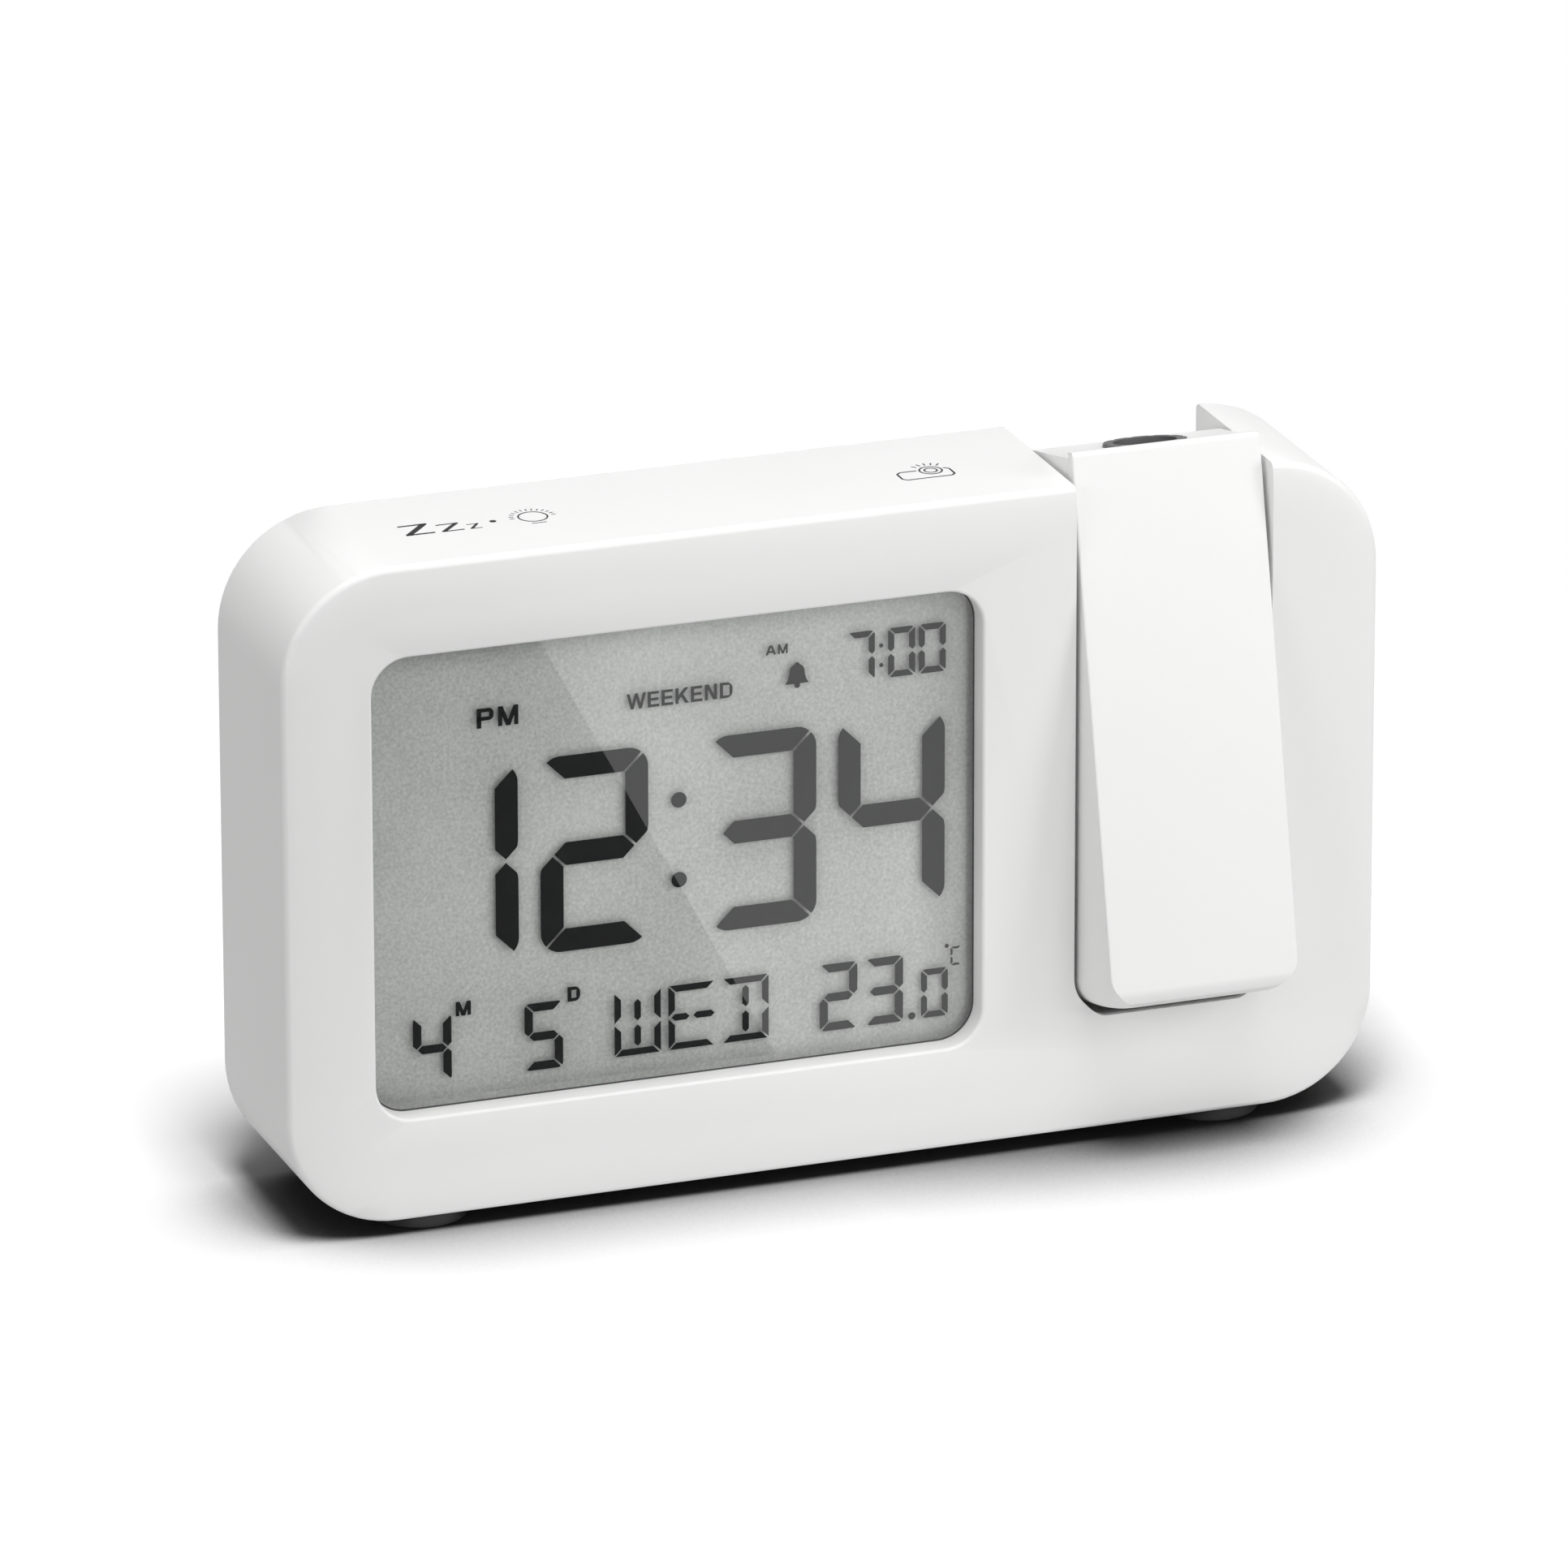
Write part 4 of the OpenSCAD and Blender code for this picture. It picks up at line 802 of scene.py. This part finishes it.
def bowl(left, low, right, high, thick):
    """The round part of a P or a D: two level strokes and one upright with rounded corners."""
    bend = 0.42 * (high - low)
    over = round_off((right - bend, high - bend), bend, 0, 90, 4)
    under = round_off((right - bend, low + bend), bend, 0, -90, 4)
    level = 0.85 * thick
    return [
        upright(left, high - level, right, high, over),
        upright(left, low, right, low + level, under),
        upright(right - thick, low, right, high, over + under),
    ]


# %% The capitals
def capital(sign, wide, tall, thick):
    """The strokes of one letter, with its lower left corner at zero."""
    t, level = thick, 0.85 * thick
    lean = 0.5 * thick * 1.05
    if sign == "E":
        return [upright(0, 0, t, tall)] + [
            upright(0, z, wide * share, z + level)
            for z, share in ((0, 1), ((tall - level) / 2, 0.92), (tall - level, 0.97))
        ]
    if sign == "P":
        return [upright(0, 0, t, tall)] + bowl(0, 0.38 * tall, wide, tall, t)
    if sign == "D":
        return [upright(0, 0, t, tall)] + bowl(0, 0, wide, tall, t)
    if sign == "A":
        legs = [
            slanted((lean, 0), (wide / 2 - 0.2 * t, tall), t, tall),
            slanted((wide - lean, 0), (wide / 2 + 0.2 * t, tall), t, tall),
        ]
        return legs + [upright(0.25 * wide, 0.22 * tall, 0.75 * wide, 0.22 * tall + level)]
    if sign == "N":
        stems = [upright(0, 0, t, tall), upright(wide - t, 0, wide, tall)]
        return stems + [slanted((wide - 0.7 * t, 0), (0.7 * t, tall), t, tall)]
    if sign == "M":
        stems = [upright(0, 0, 0.9 * t, tall), upright(wide - 0.9 * t, 0, wide, tall)]
        return stems + [
            slanted((wide / 2, 0), (0.55 * t, tall), 0.9 * t, tall),
            slanted((wide / 2, 0), (wide - 0.55 * t, tall), 0.9 * t, tall),
        ]
    if sign == "W":
        return [
            slanted((0.29 * wide, 0), (lean, tall), 0.9 * t, tall),
            slanted((0.29 * wide, 0), (wide / 2, tall), 0.9 * t, tall),
            slanted((0.71 * wide, 0), (wide / 2, tall), 0.9 * t, tall),
            slanted((0.71 * wide, 0), (wide - lean, tall), 0.9 * t, tall),
        ]
    return [
        upright(0, 0, t, tall),
        slanted((0.1 * wide, 0.25 * tall), (wide - 0.8 * t, tall), t, tall),
        slanted((wide - 0.6 * t, 0), (0.42 * wide, 0.6 * tall), t, tall),
    ]


# %% Words on the display
def word(letters, bottom, tall, thick):
    """Letters side by side, each with its own left edge and width in steps."""
    for sign, left, wide in letters:
        for stroke in capital(sign, wide, tall, thick):
            put(stroke, left, bottom)
            bpy.data.objects.remove(stroke)


word([("P", 311, 41), ("M", 363, 49)], bottom=258, tall=48, thick=11)
word([("A", 1018, 25), ("M", 1048, 24)], bottom=165, tall=23, thick=5)
word([("M", 253, 37)], bottom=957, tall=35, thick=9.5)
word([("D", 527, 31)], bottom=957, tall=36, thick=9.5)
weekend = [
    ("W", 676, 48),
    ("E", 728, 28),
    ("E", 762, 28),
    ("K", 796, 33),
    ("E", 834, 28),
    ("N", 868, 30),
    ("D", 905, 31),
]
word(weekend, bottom=257, tall=38, thick=7.5)
print("marks:", len(marks))

# %% One piece for all the marks
choose(*marks)
bpy.ops.object.join()
lcd_marks = bpy.context.object
lcd_marks.name = "lcd_marks"
thicken(lcd_marks, (0, mark_depth, 0))
crystal_dark = moulded(
    "crystal_dark", (0.02, 0.0205, 0.021), roughness=0.6, shade=0.1, bump=0.0, specular=0.1
)
finish_with(lcd_marks, crystal_dark)
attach(lcd_marks, "housing")
measure(lcd_marks)

# %% [markdown]
# The reflector is a thin foil with a fine metallic paint. Seen close, it is a grey with a hint of
# green, speckled at the scale of the paint's flakes. Towards the top and the right of the opening
# the case's edge would shade it, and that shade is painted into its colour as a darker band.


# %% The reflector's paint and its painted shade
def paint_shade_at_opening_edge(material):
    """Painted shade: takes some colour away towards the top and the right edge of the opening."""
    tree = material.node_tree
    parts = tree.nodes.new("ShaderNodeSeparateXYZ")
    feed(tree, parts.inputs[0], tree.nodes.new("ShaderNodeTexCoord").outputs["Object"])
    right, top = opening_high
    at_top = ramp(tree, parts.outputs["Z"], top - 1.7 * mm, top + 0.68 * mm, low=1.0, high=0.5)
    at_right = ramp(tree, parts.outputs["X"], right - 1.2 * mm, right + 0.48 * mm, low=1.0, high=0.6)
    colour = tree.nodes["Principled BSDF"].inputs["Base Color"]
    paint = colour.links[0].from_socket
    feed(tree, colour, scaled(tree, paint, figure(tree, "MULTIPLY", at_top, at_right)))


foil_paint_and_shade = moulded(
    "foil_paint_and_shade", (0.54, 0.555, 0.54), roughness=0.8, grains=2200.0, shade=0.8, bump=0.0, specular=0.1
)
# Painted shade along the opening's top and right edges goes into the foil's colour.
paint_shade_at_opening_edge(foil_paint_and_shade)
print("nodes in the paint:", len(foil_paint_and_shade.node_tree.nodes))


# %% The reflector
def make_reflector():
    """A thin foil behind the glass, as large as the display."""
    wide = glass_high[0] - glass_low[0]
    tall = glass_high[2] - glass_low[2]
    middle = (glass_low[0] + wide / 2, reflector_y, glass_low[2] + tall / 2)
    foil = new_plane("lcd_reflector", middle, wide, tall)
    edit(foil)
    bpy.ops.mesh.inset(thickness=1.0 * mm, depth=0.0)
    done()
    thicken(foil, (0, 0.1 * mm, 0))
    return foil


lcd_reflector = make_reflector()
finish_with(lcd_reflector, foil_paint_and_shade)
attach(lcd_reflector, "housing")
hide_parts("lcd_panel")
measure(lcd_reflector)

# %% [markdown]
# A thin dark ring lies on the window's front, just inside the opening, and shows as a fine dark line
# where the opening's wall meets the window. A plane gets the opening's size and round corners by
# bevelling its four points. Its inset face is taken out, and the ring that is left gets a small
# thickness.

# %% The dark ring round the window
ring_line = 0.22 * mm
ring_thick = 0.015 * mm
ring_play = 0.02 * mm
opening_corner = 5.0 * mm


def window_edge_ring():
    """A thin ring on the window's front, just inside the opening."""
    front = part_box("screen_window")[0][1]
    wide = opening_high[0] - opening_low[0]
    tall = opening_high[1] - opening_low[1]
    middle = (opening_low[0] + wide / 2, front - ring_play, opening_low[1] + tall / 2)
    ring = new_plane("window_edge_ring", middle, wide - ring_play, tall - ring_play)
    edit(ring)
    bpy.ops.mesh.bevel(offset=opening_corner, segments=10, affect="VERTICES")
    bpy.ops.mesh.select_all(action="SELECT")
    bpy.ops.mesh.inset(thickness=ring_line, depth=0.0)
    bpy.ops.mesh.delete(type="FACE")
    done()
    thicken(ring, (0, ring_thick, 0))
    # The ring is a fine dark line where the opening's wall meets the window.
    finish_with(ring, moulded("ring_dark", (0.07, 0.07, 0.07), roughness=0.7, shade=0.1))
    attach(ring, "housing")
    measure(ring)


window_edge_ring()

# %% [markdown]
# Two touch areas on the top carry printed signs: a row of falling letters and a lamp for the
# snooze and light, and a small projector. Printing ink stands a few hundredths of a millimetre
# above the plastic, so each sign is a very thin plate that lies on the top face.

# %% Ink on the top face
ink_marks = []
ink_height = 0.02 * mm
ink_black = moulded("ink_black", (0.03, 0.03, 0.032), roughness=0.5, shade=0.25, bump=0.000003)


def on_top(x, y):
    """A point of the top face, in millimetres from the case's left side and its front."""
    return case_low[0] + x * mm, case_low[1] + y * mm, case_high[2]


def ink_bar(start, end, line):
    """A straight printed line between two points."""
    (x0, y0), (x1, y1) = start, end
    middle = on_top((x0 + x1) / 2, (y0 + y1) / 2)
    bpy.ops.mesh.primitive_plane_add(
        size=1.0, location=middle, rotation=(0, 0, math.atan2(y1 - y0, x1 - x0))
    )
    bar = bpy.context.object
    bar.scale = (math.hypot(x1 - x0, y1 - y0) * mm, line * mm, 1.0)
    into_mesh(bar)
    ink_marks.append(bar)


def ink_disc(centre, radius):
    """A printed disc."""
    bpy.ops.mesh.primitive_circle_add(
        vertices=40, radius=radius * mm, fill_type="NGON", location=on_top(*centre)
    )
    disc = bpy.context.object
    into_mesh(disc)
    ink_marks.append(disc)
    return disc


def ink_ring(centre, radius, line):
    """A printed circle: a disc whose inset face is taken out again."""
    edit(ink_disc(centre, radius))
    bpy.ops.mesh.inset(thickness=line * mm, depth=0.0)
    bpy.ops.mesh.delete(type="FACE")
    done()


def ink_rays(centre, inner, outer, angles, line):
    """Short lines outwards from a centre, in these directions."""
    for angle in angles:
        way = (math.cos(math.radians(angle)), math.sin(math.radians(angle)))
        ends = [(centre[0] + r * way[0], centre[1] + r * way[1]) for r in (inner, outer)]
        ink_bar(*ends, line)


# %% The snooze and light sign
def falling_letter(left, low, right, high, line):
    """A Z with thin level strokes and a thick slanted one."""
    ink_bar((left, high - line / 2), (right, high - line / 2), line)
    ink_bar((left, low + line / 2), (right, low + line / 2), line)
    ink_bar((left + 0.9 * line, low + line / 2), (right - 0.9 * line, high - line / 2), 1.9 * line)


falling_letter(20.7, 11.5, 24.6, 15.5, 0.42)
falling_letter(25.5, 11.45, 28.5, 14.4, 0.3)
falling_letter(29.3, 11.4, 30.9, 13.25, 0.2)
ink_disc((32.9, 13.3), 0.45)
bulb = (38.3, 13.3)
bulb_foot = 10.75
ink_ring(bulb, 2.0, 0.22)
ink_rays(bulb, 2.5, 3.1, range(0, 181, 15), 0.16)
ink_bar((bulb[0] - 1.0, bulb_foot), (bulb[0] + 1.0, bulb_foot), 0.18)
print("ink marks:", len(ink_marks))


# %% The projector sign
def ink_frame(left, low, right, high, line, opening):
    """A box with cut corners, whose top line leaves an opening for the lens."""
    bend = 0.55
    for side, out in ((left, 1), (right, -1)):
        ink_bar((side, low + bend), (side, high - bend), line)
        ink_bar((side, low + bend), (side + out * bend, low), line)
        ink_bar((side, high - bend), (side + out * bend, high), line)
    ink_bar((left + bend, low), (right - bend, low), line)
    ink_bar((left + bend, high), (opening[0], high), line)
    ink_bar((opening[1], high), (right - bend, high), line)


ink_frame(87.9, 10.35, 95.1, 13.5, 0.26, opening=(90.75, 94.4))
lens = (92.58, 13.08)
ink_ring(lens, 1.6, 0.24)
ink_ring(lens, 0.95, 0.24)
ink_rays(lens, 2.1, 2.9, (50, 70, 90, 110, 130), 0.2)
print("ink marks:", len(ink_marks))


# %% One piece for the ink
def print_signs(name, stand_up=Matrix()):
    """Joins the ink laid out so far into one thin piece, and turns it into its place."""
    choose(*ink_marks)
    bpy.ops.object.join()
    ink_marks.clear()
    signs = bpy.context.object
    signs.name = name
    thicken(signs, (0, 0, ink_height))
    signs.data.transform(stand_up)
    finish_with(signs, ink_black)
    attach(signs, "housing")
    measure(signs)


print_signs("top_signs")

# %% [markdown]
# The five keys on the back each have a small sign above them: a clock, a bell, plus, minus and a
# lamp. They are laid out flat like the ones on the top, and then turned up against the rear cover.
# Somebody who looks at the back sees the clock's left side on the right, so the turn also swaps
# the two sides.


# %% The signs above the rear keys
def ink_bell(x, y):
    """A dome on a short body, with a rim and a clapper under it."""
    ink_disc((x, y + 0.2), 1.0)
    ink_bar((x, y + 0.2), (x, y - 0.7), 2.0)
    ink_bar((x - 1.45, y - 0.8), (x + 1.45, y - 0.8), 0.3)
    ink_disc((x, y - 1.15), 0.32)


def ink_rear_signs(places, height):
    """The five signs in a row, each at its own key's place."""
    clock, alarm, plus, minus, light = places
    ink_ring((clock, height), 1.5, 0.22)
    ink_bar((clock, height), (clock, height + 1.0), 0.22)
    ink_bar((clock, height), (clock + 0.75, height), 0.22)
    ink_bell(alarm, height + 0.1)
    ink_bar((plus - 1.3, height), (plus + 1.3, height), 0.34)
    ink_bar((plus, height - 1.3), (plus, height + 1.3), 0.34)
    ink_bar((minus - 1.3, height), (minus + 1.3, height), 0.34)
    ink_ring((light, height), 0.75, 0.22)
    ink_rays((light, height), 1.1, 1.6, range(0, 360, 45), 0.2)


def key_place(name):
    """How far a key's middle lies from the case's right side, and its top edge from the floor."""
    low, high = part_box(name)
    return (case_high[0] - (low[0] + high[0]) / 2) / mm, high[2] / mm


# %% Where the rear signs go
sign_lift = 4.5
over_keys = [key_place(name) for name in reversed(key_names)]
ink_rear_signs([away for away, _ in over_keys], over_keys[0][1] + sign_lift)
cover_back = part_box("rear_cover")[1][1]
against_cover = Matrix.Translation((0, cover_back, 0))
upright_and_swapped = Matrix(((-1, 0, 0), (0, 0, 1), (0, 1, 0))).to_4x4()
to_zero = Matrix.Translation((0, -case_low[1], -case_high[2]))
print_signs("rear_signs", against_cover @ upright_and_swapped @ to_zero)

# %% [markdown]
# The floor is a pale sheet. It keeps the clock's shadow, and near the clock a painted shade darkens
# it further, most in the narrow gap below the case. For the camera, for mirrors and for clear things
# a little light of its own lifts it to white. Beyond the clock's surroundings it fades into plain
# white, so no horizon shows. To the left the floor throws less light back at the clock, as a dark
# cloth beside it would, so the left side gets darker towards its foot.


# %% Light and shade on the floor
def painted_gap_shade(tree):
    """Painted shade: 1 on the open floor, and nearly 0 in the narrow gap under the clock."""
    gap_occlusion = tree.nodes.new("ShaderNodeAmbientOcclusion")
    gap_occlusion.samples = 12
    gap_occlusion.inputs["Distance"].default_value = 40 * mm
    return ramp(tree, gap_occlusion.outputs["AO"], 0.30, 0.92, low=0.08)


def in_sight(tree):
    """1 for what the camera, a mirror or a clear thing looks at, and 0 for light thrown back."""
    rays = tree.nodes.new("ShaderNodeLightPath").outputs
    seen = figure(tree, "MAXIMUM", rays["Is Camera Ray"], rays["Is Glossy Ray"])
    return figure(tree, "MAXIMUM", seen, rays["Is Transmission Ray"])


def thrown_back(tree, place):
    """The share of light that the floor gives back, with less at the clock's left."""
    across = tree.nodes.new("ShaderNodeSeparateXYZ")
    feed(tree, across.inputs[0], place)
    return ramp(tree, across.outputs["X"], -100 * mm, -60 * mm, low=0.35, high=0.7, kind="LINEAR")


def fade_out(tree, place):
    """0 round the clock, and 1 from a quarter of a metre away."""
    away = tree.nodes.new("ShaderNodeVectorMath")
    away.operation = "LENGTH"
    feed(tree, away.inputs[0], place)
    return ramp(tree, away.outputs["Value"], 100 * mm, 250 * mm)


# %% The floor's paper
paper_grey = (0.45, 0.45, 0.45)
paper_glow = 0.02


def floor_paper():
    """Paper that shows the shadow near the clock, and plain white farther out."""
    material, tree = new_material("floor_paper", keep_shader=False)
    place = tree.nodes.new("ShaderNodeTexCoord").outputs["Object"]
    # The painted shade darkens the paper near the clock where the camera sees it.
    shade, seen = painted_gap_shade(tree), in_sight(tree)
    tone = tree.nodes.new("ShaderNodeMix")
    feed(tree, tone.inputs["Factor"], seen)
    feed(tree, tone.inputs["A"], thrown_back(tree, place))
    feed(tree, tone.inputs["B"], shade)
    paper = tree.nodes.new("ShaderNodeBsdfDiffuse")
    feed(tree, paper.inputs["Color"], scaled(tree, paper_grey, tone.outputs["Result"]))
    glow = tree.nodes.new("ShaderNodeEmission")
    lift = figure(tree, "MULTIPLY", seen, paper_glow)
    feed(tree, glow.inputs["Strength"], figure(tree, "MULTIPLY", shade, lift))
    near = tree.nodes.new("ShaderNodeAddShader")
    feed(tree, near.inputs[0], paper.outputs[0])
    feed(tree, near.inputs[1], glow.outputs[0])
    far = tree.nodes.new("ShaderNodeEmission")
    white_share = figure(tree, "MULTIPLY", fade_out(tree, place), seen)
    sheet = mixed(tree, white_share, near.outputs[0], far.outputs[0])
    feed(tree, tree.nodes["Material Output"].inputs["Surface"], sheet)
    return material


# %% The floor
def make_floor():
    """A sheet under the clock, far wider than the picture."""
    bpy.ops.mesh.primitive_plane_add(size=6.0, location=(0, 0, 0))
    sheet = bpy.context.object
    sheet.name = "floor"
    finish_with(sheet, floor_paper())
    return sheet


floor = make_floor()
print("floor:", [round(v, 1) for v in floor.dimensions], "m")

# %% [markdown]
# A photographer hides part of a reflection with a black card, a flag. This one stands in front of
# the left of the display and only mirrors see it, so the window mirrors the pale floor on its
# right alone, with a straight slanted border between the two.

# %% The black card
card_y = case_low[1] - 30 * mm
card = new_plane("black_card", (-55 * mm, card_y, 45 * mm), 160 * mm, 140 * mm)
edit(card)
border_point = (-28 * mm, card_y, 65.7 * mm)
border_normal = (0.885, 0, 0.466)
bpy.ops.mesh.bisect(plane_co=border_point, plane_no=border_normal, clear_outer=True)
done()
card_black, card_tree = new_material("card_black")
card_shader = card_tree.nodes["Principled BSDF"]
card_shader.inputs["Base Color"].default_value = (0, 0, 0, 1)
card_shader.inputs["Specular IOR Level"].default_value = 0.0
finish_with(card, card_black)
card.visible_camera = False
card.visible_diffuse = False
card.visible_transmission = False
card.visible_shadow = False
measure(card)

# %% [markdown]
# Soft boxes stand above, in front, behind and at both sides, and light the clock alone. The floor
# has its own lamp, above and in front, which throws the clock's soft shadow backwards. Light
# linking keeps the two apart: each lamp names the floor as the one thing that it lights or leaves
# out. The box behind shows in no mirror, because its glare would bleach the top.

# %% The lamps
lamp_target = Vector((0, 0, 40 * mm))


def soft_box(name, place, size, watts, floor_state="EXCLUDE"):
    """A square lamp at a place in metres, turned towards the clock."""
    data = bpy.data.lights.new(name, "AREA")
    data.shape = "SQUARE"
    data.size = size
    data.energy = watts
    lamp = bpy.data.objects.new(name, data)
    bpy.context.scene.collection.objects.link(lamp)
    way = lamp_target - Vector(place)
    facing = way.to_track_quat("-Z", "Y").to_matrix().to_4x4()
    lamp.matrix_world = Matrix.Translation(place) @ facing
    lit = bpy.data.collections.new(name + "_lights")
    lit.objects.link(floor)
    lit.collection_objects[0].light_linking.link_state = floor_state
    lamp.light_linking.receiver_collection = lit
    return lamp


soft_box("top_box", (0.04, -0.16, 1.8), 1.0, 23.5)
soft_box("front_box", (0.24, -1.7, 1.1), 1.0, 7.5)
soft_box("right_box", (0.5, -0.42, 0.28), 0.3, 1.2)
soft_box("left_box", (-1.7, -0.9, 0.80), 1.0, 8.6)
back_box = soft_box("back_box", (0.3, 2.2, 0.9), 1.0, 8.0)
back_box.visible_glossy = False
soft_box("floor_lamp", (-0.6, -3.2, 9.4), 3.4, 2260, floor_state="INCLUDE")
print("lamps:", len(bpy.data.lights))

# %% [markdown]
# The air round the clock gives a weak even light from all sides. Where the camera looks past the
# floor, also through something clear, it sees plain white instead.

# %% The surround
world = bpy.data.worlds.new("surround")
bpy.context.scene.world = world
world.use_nodes = True
sky = world.node_tree
air = sky.nodes["Background"]
air.inputs["Color"].default_value = (1, 1, 1, 1)
air.inputs["Strength"].default_value = 0.26
white = sky.nodes.new("ShaderNodeBackground")
white.inputs["Color"].default_value = (1, 1, 1, 1)
rays = sky.nodes.new("ShaderNodeLightPath").outputs
looked_at = figure(sky, "MAXIMUM", rays["Is Camera Ray"], rays["Is Transmission Ray"])
surround = mixed(sky, looked_at, air.outputs[0], white.outputs[0])
feed(sky, sky.nodes["World Output"].inputs["Surface"], surround)
bpy.context.scene.view_settings.view_transform = "Standard"
print("surround:", world.name)
